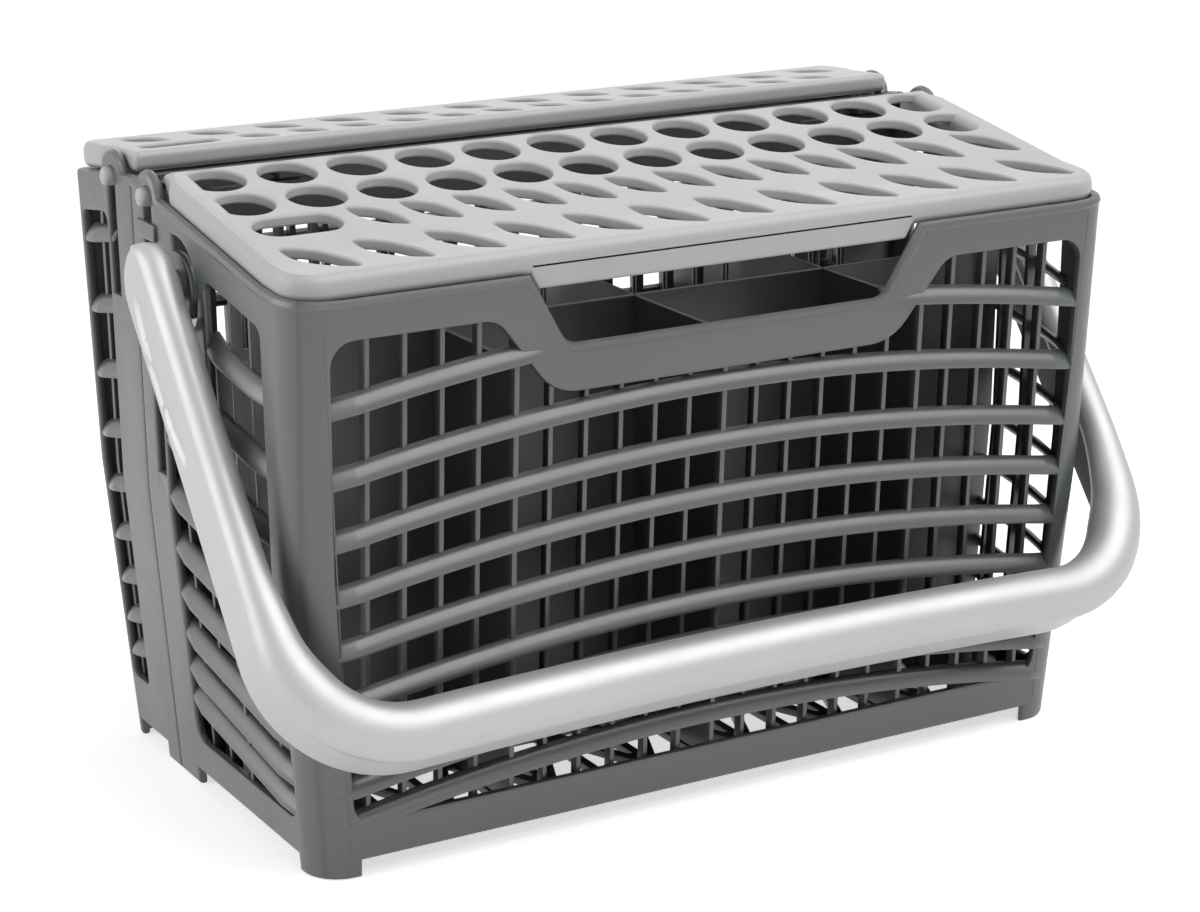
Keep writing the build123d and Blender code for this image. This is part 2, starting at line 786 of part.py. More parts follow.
with BuildPart() as rear_lid:
    with BuildSketch(Plane.YZ):
        Polygon(
            (rear_lid_front, rim(rear_lid_front) + lid_seat),
            (rear_lid_rear, rim(rear_lid_rear) + lid_seat),
            (rear_lid_rear, rear_lid_end),
            (rear_lid_front, rear_lid_ridge),
            align=None,
        )
    extrude(amount=lid_half, both=True)
    fillet(rear_lid.edges().filter_by(Axis.X).group_by(Axis.Y)[0].sort_by(Axis.Z)[-1], radius=lid_edge)
    with BuildSketch(Plane.YZ):
        rear_hollow_ends = (rear_lid_front + lid_skirt, rear_lid_rear - lid_skirt)
        top_points = [(rear_lid_front, rear_lid_ridge), (rear_lid_rear, rear_lid_end)]
        Polygon(
            (rear_hollow_ends[0], rim(rear_hollow_ends[0]) - through),
            (rear_hollow_ends[1], rim(rear_hollow_ends[1]) - through),
            (rear_hollow_ends[1], between(rear_hollow_ends[1], top_points) - lid_plate),
            (rear_hollow_ends[0], between(rear_hollow_ends[0], top_points) - lid_plate),
            align=None,
        )
    extrude(amount=ear_half - lid_skirt, both=True, mode=Mode.SUBTRACT)

    # Narrow end between the ears
    with BuildSketch(Plane.XY):
        ear_back = rear_pin_y + ear_radius + ear_relief
        narrow = ear_back - rear_lid_front + through
        with Locations((0, ear_back - narrow / 2)):
            Rectangle(rim_width, narrow)
            Rectangle(2 * ear_half, narrow, mode=Mode.SUBTRACT)
    extrude(amount=2 * blank_top, mode=Mode.SUBTRACT)

    # Leaves and the oblong
    with BuildSketch(Plane.XY):
        with Locations((rear_oblong_x, rear_row)):
            SlotOverall(oblong_length, rear_oblong_width)
        with Locations(*row_of(rear_leaf_first, short_leaf_pitch, rear_leaf_count, rear_row)):
            add(leaves_rear, rotation=leaf_turn)
        with Locations(*row_of(last_leaf_first, last_leaf_pitch, last_leaf_count, back_row)):
            add(leaves_back, rotation=leaf_turn)
    extrude(amount=2 * blank_top, mode=Mode.SUBTRACT)

    # Lug inside each end wall, and the pin on it that passes through the wall
    lug_ends = (rear_pin_y - lug_radius, rear_pin_y + lug_radius)
    lug_top = [(y, between(y, top_points) - lid_plate / 2) for y in reversed(lug_ends)]
    lug_tip = [(y, rear_pin_level - lug_radius / 2) for y in lug_ends]
    lug_steps = (-lug_radius / 2, lug_radius / 2)
    lug_low = [(rear_pin_y + step, rear_pin_level - lug_radius) for step in lug_steps]
    for side in (-1, 1):
        with BuildSketch(Plane.YZ.offset(side * (ear_half - lug_thick))):
            Polygon(lug_tip[0], *lug_low, lug_tip[1], *lug_top, align=None)
        extrude(amount=side * lug_thick)
        with BuildSketch(Plane.YZ.offset(side * (ear_half - lug_thick))):
            with Locations((rear_pin_y, rear_pin_level)):
                Circle(pin_diameter / 2)
        extrude(amount=side * (pin_reach - ear_half + lug_thick))

# Handle
tilt = radians(handle_lean)
handle_normal = (0, -cos(tilt), sin(tilt))
handle_plane = Plane(origin=(0, 0, pivot_level), x_dir=(1, 0, 0), z_dir=handle_normal)
arm_plane = Plane(origin=(0, 0, pivot_level), x_dir=(0, -sin(tilt), -cos(tilt)), z_dir=(1, 0, 0))
plate_front = plate_width - plate_back
end_shift = arm_end - plate_back


def bail_band(arm_thick, cross_thick, inner_bow):
    """Sketch of the bail seen square on: two arms and a bowed crossbar."""
    inner = handle_half - arm_thick
    with BuildSketch(Plane.XY) as outline:
        with BuildLine():
            Line((-handle_half, arm_end), (-handle_half, -handle_length))
            ThreePointArc(
                (-handle_half, -handle_length),
                (0, handle_bow - handle_length),
                (handle_half, -handle_length),
            )
            Line((handle_half, -handle_length), (handle_half, arm_end))
            Line((handle_half, arm_end), (-handle_half, arm_end))
        make_face()
        fillet(outline.vertices().group_by(Axis.Y)[0], radius=handle_corner)
    with BuildSketch(Plane.XY) as inside:
        inner_y = cross_thick - handle_length
        with BuildLine():
            Line((-inner, arm_end), (-inner, inner_y))
            ThreePointArc((-inner, inner_y), (0, inner_y + inner_bow), (inner, inner_y))
            Line((inner, inner_y), (inner, arm_end))
            Line((inner, arm_end), (-inner, arm_end))
        make_face()
        fillet(inside.vertices().group_by(Axis.Y)[0], radius=handle_corner - arm_thick)
    return outline.sketch - inside.sketch


ridge_band = bail_band(ridge_thick, grip_thick, grip_bow)
plate_band = bail_band(handle_plate, handle_plate, handle_bow)

with BuildPart() as handle:
    with BuildSketch(handle_plane.offset(plate_front - ridge_thick / 2)):
        add(ridge_band)
    extrude(amount=ridge_thick)
    outward = Axis((0, 0, pivot_level), handle_normal)
    ridge_top = handle.faces().sort_by(outward)[-1]
    chamfer(ridge_top.edges().filter_by(Axis.X, reverse=True), length=ridge_bevel)
    with BuildSketch(handle_plane.offset(-plate_back)):
        add(plate_band)
    extrude(amount=plate_width)

    # Rounded arm ends
    with BuildSketch(arm_plane):
        with Locations((-arm_end, -end_shift)):
            Rectangle(2 * arm_end, 4 * arm_end)
        with Locations((0, -end_shift)):
            Circle(arm_end, mode=Mode.SUBTRACT)
    extrude(amount=2 * handle_half, both=True, mode=Mode.SUBTRACT)

    # Pivot pin and stop block of each arm
    for side in (-1, 1):
        pin_end = half_width(pivot_level) - pivot_inset
        with BuildSketch(arm_plane.offset(side * pin_end)):
            Circle(pivot_pin / 2)
            with Locations((stop_radius, 0)):
                Rectangle(stop_block, stop_block)
        extrude(amount=side * (handle_half - handle_plate / 2 - pin_end))

# Labels and files, with the origin moved under the middle of the whole box
frame_front = handle.part.bounding_box().min.Y
frame_back = rear_basket.part.bounding_box().max.Y
to_frame = Pos(0, -(frame_front + frame_back) / 2, 0)
pieces = {
    "front_basket": front_basket,
    "rear_basket": rear_basket,
    "front_lid": front_lid,
    "rear_lid": rear_lid,
    "handle": handle,
}
os.makedirs("parts", exist_ok=True)
for name, piece in pieces.items():
    placed = to_frame * piece.part
    placed.label = name
    export_step(placed, f"parts/{name}.step")
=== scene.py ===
# %% [markdown]
# # A dishwasher cutlery basket
# The real basket is five plastic mouldings: a deep front half, a narrow rear half hooked on to it,
# a perforated lid on each, and a swinging bail handle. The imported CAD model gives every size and
# place. This lesson dresses it: thin walls with rounded lips, louvre bars, rolled lid edges and a
# smooth bail, all made where the CAD nodes are.

# %% Load the frame
from math import atan2, cos, degrees, hypot, pi, radians, sin, sqrt, tan

import bmesh
import bpy
from mathutils import Matrix, Vector


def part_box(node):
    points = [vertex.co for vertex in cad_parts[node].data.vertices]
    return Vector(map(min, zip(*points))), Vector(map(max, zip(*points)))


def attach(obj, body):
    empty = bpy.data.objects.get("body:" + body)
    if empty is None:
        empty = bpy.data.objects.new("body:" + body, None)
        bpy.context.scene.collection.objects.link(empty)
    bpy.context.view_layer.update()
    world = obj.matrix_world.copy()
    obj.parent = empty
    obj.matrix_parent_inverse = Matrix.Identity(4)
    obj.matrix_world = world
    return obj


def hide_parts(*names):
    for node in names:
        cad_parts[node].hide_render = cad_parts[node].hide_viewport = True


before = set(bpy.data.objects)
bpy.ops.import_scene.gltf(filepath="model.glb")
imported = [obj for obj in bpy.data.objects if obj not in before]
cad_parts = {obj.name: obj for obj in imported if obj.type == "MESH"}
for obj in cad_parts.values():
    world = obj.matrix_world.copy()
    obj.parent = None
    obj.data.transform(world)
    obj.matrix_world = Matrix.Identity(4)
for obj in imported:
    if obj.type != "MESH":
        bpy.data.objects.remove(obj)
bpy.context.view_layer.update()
MM = 0.001
print("frame nodes:", sorted(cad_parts))

# %% [markdown]
# ## The camera
# The photograph looks down at the front left corner from about eye height, through a long lens.
# A longer lens keeps the uprights nearly parallel. The shift places the basket in the frame
# without turning the camera, so the vertical lines keep their angle.

# %% Camera
view_azimuth = radians(-29.57)
view_elevation = radians(17.32)
view_distance = 825.64 * MM
pivot_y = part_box("front_basket")[1].y - 27.9 * MM
view_target = Vector((0.0, pivot_y + 8.0 * MM, 65.0 * MM))
back = Vector((
    sin(view_azimuth) * cos(view_elevation),
    -cos(view_azimuth) * cos(view_elevation),
    sin(view_elevation),
))
camera_data = bpy.data.cameras.new("photo_camera")
camera_data.sensor_width = 36.0
camera_data.lens = 89.48
camera_data.shift_x = 0.0149
camera_data.shift_y = 0.0310
camera_data.clip_start = 0.01
camera = bpy.data.objects.new("photo_camera", camera_data)
bpy.context.scene.collection.objects.link(camera)
camera.location = view_target + back * view_distance
roll = Matrix.Rotation(radians(-0.38), 4, "Z")
camera.rotation_mode = "QUATERNION"
camera.rotation_quaternion = ((-back).to_track_quat("-Z", "Y").to_matrix().to_4x4() @ roll).to_quaternion()
bpy.context.scene.camera = camera
print("camera stands at", [round(c, 3) for c in camera.location])

# %% [markdown]
# ## A white studio
# Product photographs of this kind stand on a white sweep under a large soft box. The floor is pale
# and takes a soft shadow. The Light Path node lifts the floor and the world to white where the eye
# or a reflection sees them, so the shiny faces mirror a white room. Away from the basket the floor
# fades to plain white.


# %% World
def camera_white(nodes, links):
    """One for rays from the eye, through a pane or off a shiny face, and nought for light."""
    path = nodes.new("ShaderNodeLightPath")
    seen = path.outputs["Is Camera Ray"]
    for ray in ("Is Transmission Ray", "Is Glossy Ray"):
        either = nodes.new("ShaderNodeMath")
        either.operation = "MAXIMUM"
        links.new(seen, either.inputs[0])
        links.new(path.outputs[ray], either.inputs[1])
        seen = either.outputs[0]
    return seen


studio = bpy.data.worlds.new("studio")
bpy.context.scene.world = studio
studio.use_nodes = True
world_nodes, world_links = studio.node_tree.nodes, studio.node_tree.links
soft_light = world_nodes["Background"]
soft_light.inputs["Color"].default_value = (1.0, 1.0, 1.0, 1.0)
soft_light.inputs["Strength"].default_value = 0.13
white_wall = world_nodes.new("ShaderNodeBackground")
white_wall.inputs["Color"].default_value = (1.0, 1.0, 1.0, 1.0)
white_wall.inputs["Strength"].default_value = 1.0
world_mix = world_nodes.new("ShaderNodeMixShader")
world_links.new(camera_white(world_nodes, world_links), world_mix.inputs[0])
world_links.new(soft_light.outputs[0], world_mix.inputs[1])
world_links.new(white_wall.outputs[0], world_mix.inputs[2])
world_links.new(world_mix.outputs[0], world_nodes["World Output"].inputs["Surface"])
print("world set")

# %% Floor
floor_bm = bmesh.new()
bmesh.ops.create_circle(floor_bm, cap_ends=True, segments=64, radius=4.0)
floor_mesh = bpy.data.meshes.new("floor")
floor_bm.to_mesh(floor_mesh)
floor_bm.free()
floor = bpy.data.objects.new("floor", floor_mesh)
bpy.context.scene.collection.objects.link(floor)
floor_paint = bpy.data.materials.new("white_sweep")
floor_paint.use_nodes = True
floor_nodes, floor_links = floor_paint.node_tree.nodes, floor_paint.node_tree.links
sweep = floor_nodes["Principled BSDF"]
sweep.inputs["Base Color"].default_value = (0.86, 0.86, 0.86, 1.0)
sweep.inputs["Roughness"].default_value = 0.9
glow = floor_nodes.new("ShaderNodeEmission")
glow.inputs["Strength"].default_value = 0.62
lifted = floor_nodes.new("ShaderNodeAddShader")
white = floor_nodes.new("ShaderNodeEmission")
far = floor_nodes.new("ShaderNodeVectorMath")
far.operation = "LENGTH"
fade = floor_nodes.new("ShaderNodeMapRange")
fade.interpolation_type = "SMOOTHSTEP"
fade.inputs["From Min"].default_value = 0.35
fade.inputs["From Max"].default_value = 0.95
faded = floor_nodes.new("ShaderNodeMixShader")
floor_mix = floor_nodes.new("ShaderNodeMixShader")
floor_links.new(floor_nodes.new("ShaderNodeTexCoord").outputs["Object"], far.inputs[0])
floor_links.new(far.outputs["Value"], fade.inputs["Value"])
floor_links.new(fade.outputs["Result"], faded.inputs[0])
floor_links.new(lifted.outputs[0], faded.inputs[1])
floor_links.new(white.outputs[0], faded.inputs[2])
floor_links.new(sweep.outputs[0], lifted.inputs[0])
floor_links.new(glow.outputs[0], lifted.inputs[1])
floor_links.new(camera_white(floor_nodes, floor_links), floor_mix.inputs[0])
floor_links.new(sweep.outputs[0], floor_mix.inputs[1])
floor_links.new(faded.outputs[0], floor_mix.inputs[2])
floor_links.new(floor_mix.outputs[0], floor_nodes["Material Output"].inputs["Surface"])
floor_mesh.materials.append(floor_paint)
print("floor reaches", round(floor.dimensions.x / 2, 2), "m")


# %% Lamps
def soft_box(name, place, aim, size, watts):
    """An oblong area lamp at a place, turned to a point."""
    data = bpy.data.lights.new(name, "AREA")
    data.shape = "RECTANGLE"
    data.size, data.size_y = size
    data.energy = watts
    lamp = bpy.data.objects.new(name, data)
    bpy.context.scene.collection.objects.link(lamp)
    lamp.location = place
    lamp.rotation_mode = "QUATERNION"
    lamp.rotation_quaternion = (Vector(aim) - Vector(place)).to_track_quat("-Z", "Y")


middle = (0.0, 0.0, 0.08)
soft_box("overhead", (0.15, -0.10, 1.20), middle, (1.4, 0.8), 2.5)
soft_box("main", (0.46, -0.60, 1.15), middle, (1.5, 1.0), 12.2)
soft_box("left", (-1.20, 0.45, 0.50), middle, (1.3, 1.0), 9.0)
soft_box("front", (-0.25, -1.45, 0.55), middle, (1.2, 0.9), 1.5)
soft_box("behind", (0.60, 1.20, 0.80), middle, (0.9, 0.7), 1.0)
bpy.context.scene.view_settings.view_transform = "Standard"
print("lamps:", sorted(lamp.name for lamp in bpy.data.lights))

# %% [markdown]
# ## The basket's own measures
# Every piece below is drawn in millimetres about the handle's pivot line and then moved to the
# frame. These few values and functions give the leaning walls and the sloping rim, as in the CAD
# model. The side is -1 for the front half and 1 for the rear half.

# %% Measures
origin_shift = pivot_y / MM
rim_level, bend_level, knee = 150.0, 80.0, -50.0
foot_half, bend_half, rim_half = 113.9, 119.3, 120.0
foot_reach, face_lean = 60.7, 8.3
corner_of = {-1: 10.0, 1: 4.0}
seam_of = {-1: -27.9, 1: 28.1}


def between(place, points):
    """Straight-line value at a place, carried on past both ends of the points."""
    for (low, low_value), (high, high_value) in zip(points, points[1:]):
        if place <= high:
            break
    return low_value + (high_value - low_value) * (place - low) / (high - low)


def half_width(z):
    """Half the outside width at a level."""
    return between(z, [(0.0, foot_half), (bend_level, bend_half), (rim_level, rim_half)])


def half_depth(z):
    """Distance of the front or back wall from the middle at a level."""
    return foot_reach + face_lean * z / rim_level


def rim(y):
    """Height of the rim along the end walls."""
    return between(y, [(-69.0, 148.9), (knee, 150.2), (28.0, 163.1), (69.0, 158.2)])


def up_face(v):
    """Level of a place measured up the leaning front face."""
    return v * rim_level / hypot(rim_level, face_lean)


print("pivot line stands", round(origin_shift, 3), "mm behind the origin")

# %% [markdown]
# ## Moulded plastic
# All five pieces are moulded plastic. Close up, such plastic isn't one flat colour: the melt leaves
# faint clouds of tone, the tool leaves a fine grain, and handling leaves a few duller patches. Each
# material could have its own noises. One shader group is easier to tune: it makes these three masks
# from Object coordinates, and each finish uses it with its own strengths.


# %% Shader group for moulded skin
def link_noise(tree, vector, scale, detail, rough):
    """A noise of one size on the given coordinates."""
    noise = tree.nodes.new("ShaderNodeTexNoise")
    noise.inputs["Scale"].default_value = scale
    noise.inputs["Detail"].default_value = detail
    noise.inputs["Roughness"].default_value = rough
    tree.links.new(vector, noise.inputs["Vector"])
    return noise.outputs["Fac"]


moulded_skin = bpy.data.node_groups.new("moulded_skin", "ShaderNodeTree")
moulded_skin.interface.new_socket("Vector", in_out="INPUT", socket_type="NodeSocketVector")
moulded_skin.interface.new_socket("Clouds", in_out="OUTPUT", socket_type="NodeSocketFloat")
moulded_skin.interface.new_socket("Grain", in_out="OUTPUT", socket_type="NodeSocketFloat")
moulded_skin.interface.new_socket("Handling", in_out="OUTPUT", socket_type="NodeSocketFloat")
skin_in = moulded_skin.nodes.new("NodeGroupInput")
skin_out = moulded_skin.nodes.new("NodeGroupOutput")
clouds = link_noise(moulded_skin, skin_in.outputs["Vector"], 26.0, 3.0, 0.55)
grain = link_noise(moulded_skin, skin_in.outputs["Vector"], 1700.0, 2.0, 0.6)
patches = link_noise(moulded_skin, skin_in.outputs["Vector"], 75.0, 5.0, 0.65)
moulded_skin.links.new(clouds, skin_out.inputs["Clouds"])
moulded_skin.links.new(grain, skin_out.inputs["Grain"])
moulded_skin.links.new(patches, skin_out.inputs["Handling"])
print("group sockets:", [s.name for s in moulded_skin.interface.items_tree])


# %% [markdown]
# ### Painted shade inside
# In the photograph the inside of the basket looks nearly black. The soft light of this studio reaches
# further in, so shade is painted into the basket's colour behind its walls: a darker tone stands in for the
# shade deep inside. This is a choice for the look. A second material on the inner faces would end in a hard
# line at every lip, so a mask of the depth behind the leaning walls fades the painted shade in over a few
# millimetres.


# %% Shader group for the painted shade inside
def maths(tree, operation, *values):
    """A math node on sockets or plain numbers."""
    node = tree.nodes.new("ShaderNodeMath")
    node.operation = operation
    for socket, value in zip(node.inputs, values):
        if isinstance(value, float):
            socket.default_value = value
        else:
            tree.links.new(value, socket)
    return node.outputs[0]


end_slope = (bend_half - foot_half) / bend_level
face_slope = face_lean / rim_level
upper_half = 119.5
dark_from, dark_to = 1.6, 4.2
# Painted shade: this mask is one deep behind the leaning walls and ends, where the inside lies in shade,
# and nought near the outer faces.
painted_shade_mask = bpy.data.node_groups.new("painted_shade_mask", "ShaderNodeTree")
painted_shade_mask.interface.new_socket("Vector", in_out="INPUT", socket_type="NodeSocketVector")
painted_shade_mask.interface.new_socket("Inside", in_out="OUTPUT", socket_type="NodeSocketFloat")
mask_in = painted_shade_mask.nodes.new("NodeGroupInput")
mask_out = painted_shade_mask.nodes.new("NodeGroupOutput")
split = painted_shade_mask.nodes.new("ShaderNodeSeparateXYZ")
painted_shade_mask.links.new(mask_in.outputs["Vector"], split.inputs[0])
from_middle = maths(painted_shade_mask, "ABSOLUTE", split.outputs["X"])
from_pivot = maths(painted_shade_mask, "ABSOLUTE", maths(painted_shade_mask, "SUBTRACT", split.outputs["Y"], pivot_y))
low_end = maths(painted_shade_mask, "MULTIPLY_ADD", split.outputs["Z"], end_slope, foot_half * MM)
end_wall = maths(painted_shade_mask, "MINIMUM", low_end, upper_half * MM)
face_wall = maths(painted_shade_mask, "MULTIPLY_ADD", split.outputs["Z"], face_slope, foot_reach * MM)
end_depth = maths(painted_shade_mask, "SUBTRACT", end_wall, from_middle)
face_depth = maths(painted_shade_mask, "SUBTRACT", face_wall, from_pivot)
depth = painted_shade_mask.nodes.new("ShaderNodeMapRange")
depth.interpolation_type = "SMOOTHSTEP"
depth.inputs["From Min"].default_value = dark_from * MM
depth.inputs["From Max"].default_value = dark_to * MM
painted_shade_mask.links.new(maths(painted_shade_mask, "MINIMUM", end_depth, face_depth), depth.inputs["Value"])
painted_shade_mask.links.new(depth.outputs["Result"], mask_out.inputs["Inside"])
print("group sockets:", [s.name for s in painted_shade_mask.interface.items_tree])


# %% [markdown]
# ### Three finishes
# The baskets are dark grey, the lids light grey and the handle silver grey. They could be three
# separate materials, built by hand. One function makes them alike, so that they differ only in tone
# and gloss. The handle's finish is half metallic, which gives its sheen.


# %% Finishes
grain_height = 0.08 * MM


def plastic(name, shade, light, rough_low, rough_high, bump, metallic=0.0, shine=0.5, painted_shade=1.0):
    """A moulded finish: two cloudy tones, patchy roughness, a fine grain and, if asked, painted shade on
    the inside.
    """
    material = bpy.data.materials.new(name)
    material.use_nodes = True
    tree = material.node_tree
    shader = tree.nodes["Principled BSDF"]
    place = tree.nodes.new("ShaderNodeTexCoord")
    skin = tree.nodes.new("ShaderNodeGroup")
    skin.node_tree = moulded_skin
    tree.links.new(place.outputs["Object"], skin.inputs["Vector"])
    tone = tree.nodes.new("ShaderNodeMix")
    tone.data_type = "RGBA"
    tone.inputs["A"].default_value = (*shade, 1.0)
    tone.inputs["B"].default_value = (*light, 1.0)
    tree.links.new(skin.outputs["Clouds"], tone.inputs["Factor"])
    colour = tone.outputs["Result"]
    # Painted shade: the colour is multiplied darker inside the basket, in place of the shade behind its
    # walls.
    if painted_shade < 1.0:
        inner = tree.nodes.new("ShaderNodeGroup")
        inner.node_tree = painted_shade_mask
        tree.links.new(place.outputs["Object"], inner.inputs["Vector"])
        darker = tree.nodes.new("ShaderNodeMix")
        darker.data_type = "RGBA"
        darker.blend_type = "MULTIPLY"
        darker.inputs["B"].default_value = (painted_shade, painted_shade, painted_shade, 1.0)
        tree.links.new(inner.outputs["Inside"], darker.inputs["Factor"])
        tree.links.new(colour, darker.inputs["A"])
        colour = darker.outputs["Result"]
    tree.links.new(colour, shader.inputs["Base Color"])
    dull = tree.nodes.new("ShaderNodeMapRange")
    dull.inputs["From Min"].default_value = 0.3
    dull.inputs["From Max"].default_value = 0.7
    dull.inputs["To Min"].default_value = rough_low
    dull.inputs["To Max"].default_value = rough_high
    tree.links.new(skin.outputs["Handling"], dull.inputs["Value"])
    tree.links.new(dull.outputs["Result"], shader.inputs["Roughness"])
    relief = tree.nodes.new("ShaderNodeBump")
    relief.inputs["Strength"].default_value = bump
    relief.inputs["Distance"].default_value = grain_height
    tree.links.new(skin.outputs["Grain"], relief.inputs["Height"])
    tree.links.new(relief.outputs["Normal"], shader.inputs["Normal"])
    shader.inputs["Metallic"].default_value = metallic
    shader.inputs["Specular IOR Level"].default_value = shine
    return material


# The basket's finish has painted shade inside, at 0.18 of its tone.
basket_grey = plastic(
    "basket_grey", (0.070, 0.079, 0.077), (0.092, 0.102, 0.100), 0.31, 0.40, 0.1, shine=1.0, painted_shade=0.18
)
lid_pearl = plastic("lid_pearl", (0.47, 0.475, 0.48), (0.525, 0.53, 0.535), 0.30, 0.40, 0.1)
handle_silver = plastic(
    "handle_silver", (0.50, 0.50, 0.51), (0.55, 0.55, 0.56), 0.42, 0.50, 0.1, metallic=0.5
)
finish_of = {"basket": basket_grey, "lid": lid_pearl, "handle": handle_silver}
print("finishes:", sorted(finish_of))

# %% [markdown]
# ## Sheets with rounded lips
# Moulded walls are flat sheets with rounded edges and rounded holes. Boolean cuts could make the
# holes, but each edge would then need a bevel. A filled two-dimensional curve gives both: its bevel
# rounds every edge, also inside the holes. The sheet is cut where the wall must bend and each vertex
# is then carried to its place.


# %% Outlines
def arc(centre, radius, start, stop, steps):
    """Points of an arc in degrees."""
    turns = [radians(start + (stop - start) * step / steps) for step in range(steps + 1)]
    return [(centre[0] + radius * cos(t), centre[1] + radius * sin(t)) for t in turns]


def rounded(corners, radii, steps=5):
    """A closed outline with its corners rounded."""
    ring = []
    for index, (corner, radius) in enumerate(zip(corners, radii)):
        here = Vector(corner)
        before = (Vector(corners[index - 1]) - here).normalized()
        after = (Vector(corners[(index + 1) % len(corners)]) - here).normalized()
        if radius == 0.0:
            ring.append(tuple(here))
            continue
        half_turn = before.angle(after) / 2
        reach = radius / tan(half_turn)
        centre = here + (before + after).normalized() * (radius / sin(half_turn))
        first, last = here + before * reach - centre, here + after * reach - centre
        sweep = first.angle(last)
        for step in range(steps + 1):
            part = step / steps
            spoke = first * (sin((1 - part) * sweep) / sin(sweep)) + last * (sin(part * sweep) / sin(sweep))
            ring.append(tuple(centre + spoke))
    return ring


print("outline tools: arc, rounded")


# %% Sheets
def mesh_of(curve):
    """The mesh of a curve, which is then removed."""
    holder = bpy.data.objects.new(curve.name, curve)
    mesh = bpy.data.meshes.new_from_object(holder)
    bm = bmesh.new()
    bm.from_mesh(mesh)
    bmesh.ops.remove_doubles(bm, verts=bm.verts, dist=0.001)
    bpy.data.objects.remove(holder)
    bpy.data.curves.remove(curve)
    bpy.data.meshes.remove(mesh)
    return bm


def sheet(rings, thick, lip, smooth=1):
    """A sheet on the flat, from closed outlines and holes, with rounded lips."""
    curve = bpy.data.curves.new("sheet", "CURVE")
    curve.dimensions = "2D"
    curve.fill_mode = "BOTH"
    curve.extrude = thick / 2 - lip
    curve.bevel_depth = lip
    curve.bevel_resolution = smooth
    curve.offset = -lip
    for ring in rings:
        spline = curve.splines.new("POLY")
        spline.points.add(len(ring) - 1)
        for point, place in zip(spline.points, ring):
            point.co = (place[0], place[1], 0.0, 1.0)
        spline.use_cyclic_u = True
    return mesh_of(curve)


def cut(bm, axis, places):
    """Cuts across a sheet, so that it can bend there."""
    for place in places:
        spot, way = Vector((0.0, 0.0, 0.0)), Vector((0.0, 0.0, 0.0))
        spot[axis], way[axis] = place, 1.0
        geometry = bm.verts[:] + bm.edges[:] + bm.faces[:]
        bmesh.ops.bisect_plane(bm, geom=geometry, plane_co=spot, plane_no=way, dist=0.0001)
    return bm


def carry(bm, place):
    """Carries each vertex of a flat piece to where the function says."""
    for vert in bm.verts:
        vert.co = place(*vert.co)
    return bm


print("sheet tools: sheet, cut, carry")


# %% Rods and turned pieces
def rod(path, radius, round_ends=False, smooth=2):
    """A round rod along a path, with plain or rounded ends."""
    dome = ((0.5, 0.87), (0.87, 0.5), (1.0, 0.08))
    points = [Vector(place) for place in path]
    sizes = [1.0] * len(points)
    if round_ends:
        for end, inner in ((0, 1), (-1, -2)):
            way = (points[end] - points[inner]).normalized()
            cap = [points[end] + way * radius * out for out, _ in dome]
            cap_sizes = [size for _, size in dome]
            if end == 0:
                points[:0], sizes[:0] = cap[::-1], cap_sizes[::-1]
            else:
                points += cap
                sizes += cap_sizes
    curve = bpy.data.curves.new("rod", "CURVE")
    curve.dimensions = "3D"
    curve.bevel_depth = radius
    curve.bevel_resolution = smooth
    curve.use_fill_caps = True
    spline = curve.splines.new("POLY")
    spline.points.add(len(points) - 1)
    for point, place, size in zip(spline.points, points, sizes):
        point.co = (*place, 1.0)
        point.radius = size
    return mesh_of(curve)


def turned(profile, axis_place):
    """A solid turned about a line along X through a place, from (x, radius) points."""
    bm = bmesh.new()
    verts = [bm.verts.new((x, axis_place[0], axis_place[1] + radius)) for x, radius in profile]
    edges = [bm.edges.new(pair) for pair in zip(verts, verts[1:])]
    bmesh.ops.spin(
        bm, geom=verts + edges, cent=(0.0, *axis_place), axis=(1.0, 0.0, 0.0),
        angle=2 * pi, steps=24, use_merge=True,
    )
    bmesh.ops.remove_doubles(bm, verts=bm.verts, dist=0.001)
    return bm


print("round tools: rod, turned")


# %% Settling a piece
def settle(node, slot, parts):
    """One finished object from many parts, in metres in the frame, in place of a CAD node."""
    whole = bmesh.new()
    for part in parts:
        scratch = bpy.data.meshes.new("scratch")
        part.to_mesh(scratch)
        part.free()
        whole.from_mesh(scratch)
        bpy.data.meshes.remove(scratch)
    bmesh.ops.recalc_face_normals(whole, faces=whole.faces)
    bmesh.ops.transform(
        whole, verts=whole.verts, matrix=Matrix.Scale(MM, 4) @ Matrix.Translation((0.0, origin_shift, 0.0))
    )
    mesh = bpy.data.meshes.new(node + "_look")
    whole.to_mesh(mesh)
    whole.free()
    mesh.shade_smooth()
    mesh.set_sharp_from_angle(angle=radians(40.0))
    piece = bpy.data.objects.new(node + "_look", mesh)
    bpy.context.scene.collection.objects.link(piece)
    even = piece.modifiers.new("even_normals", "WEIGHTED_NORMAL")
    even.keep_sharp = True
    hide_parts(node)
    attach(piece, node)
    mesh.materials.append(finish_of[slot])
    print(node, "has", len(mesh.polygons), "faces")


print("settle puts one piece in place of one CAD node")


# %% [markdown]
# ## Wrapping a wall
# The front half is one wall that runs along an end, round a corner, across the front and back along
# the other end. A modifier could bend it, but these walls also lean. So the wall is drawn unrolled,
# with its length across and its height up, and a function carries each point round the corners. The
# rear half is wrapped the same way, the other way about.


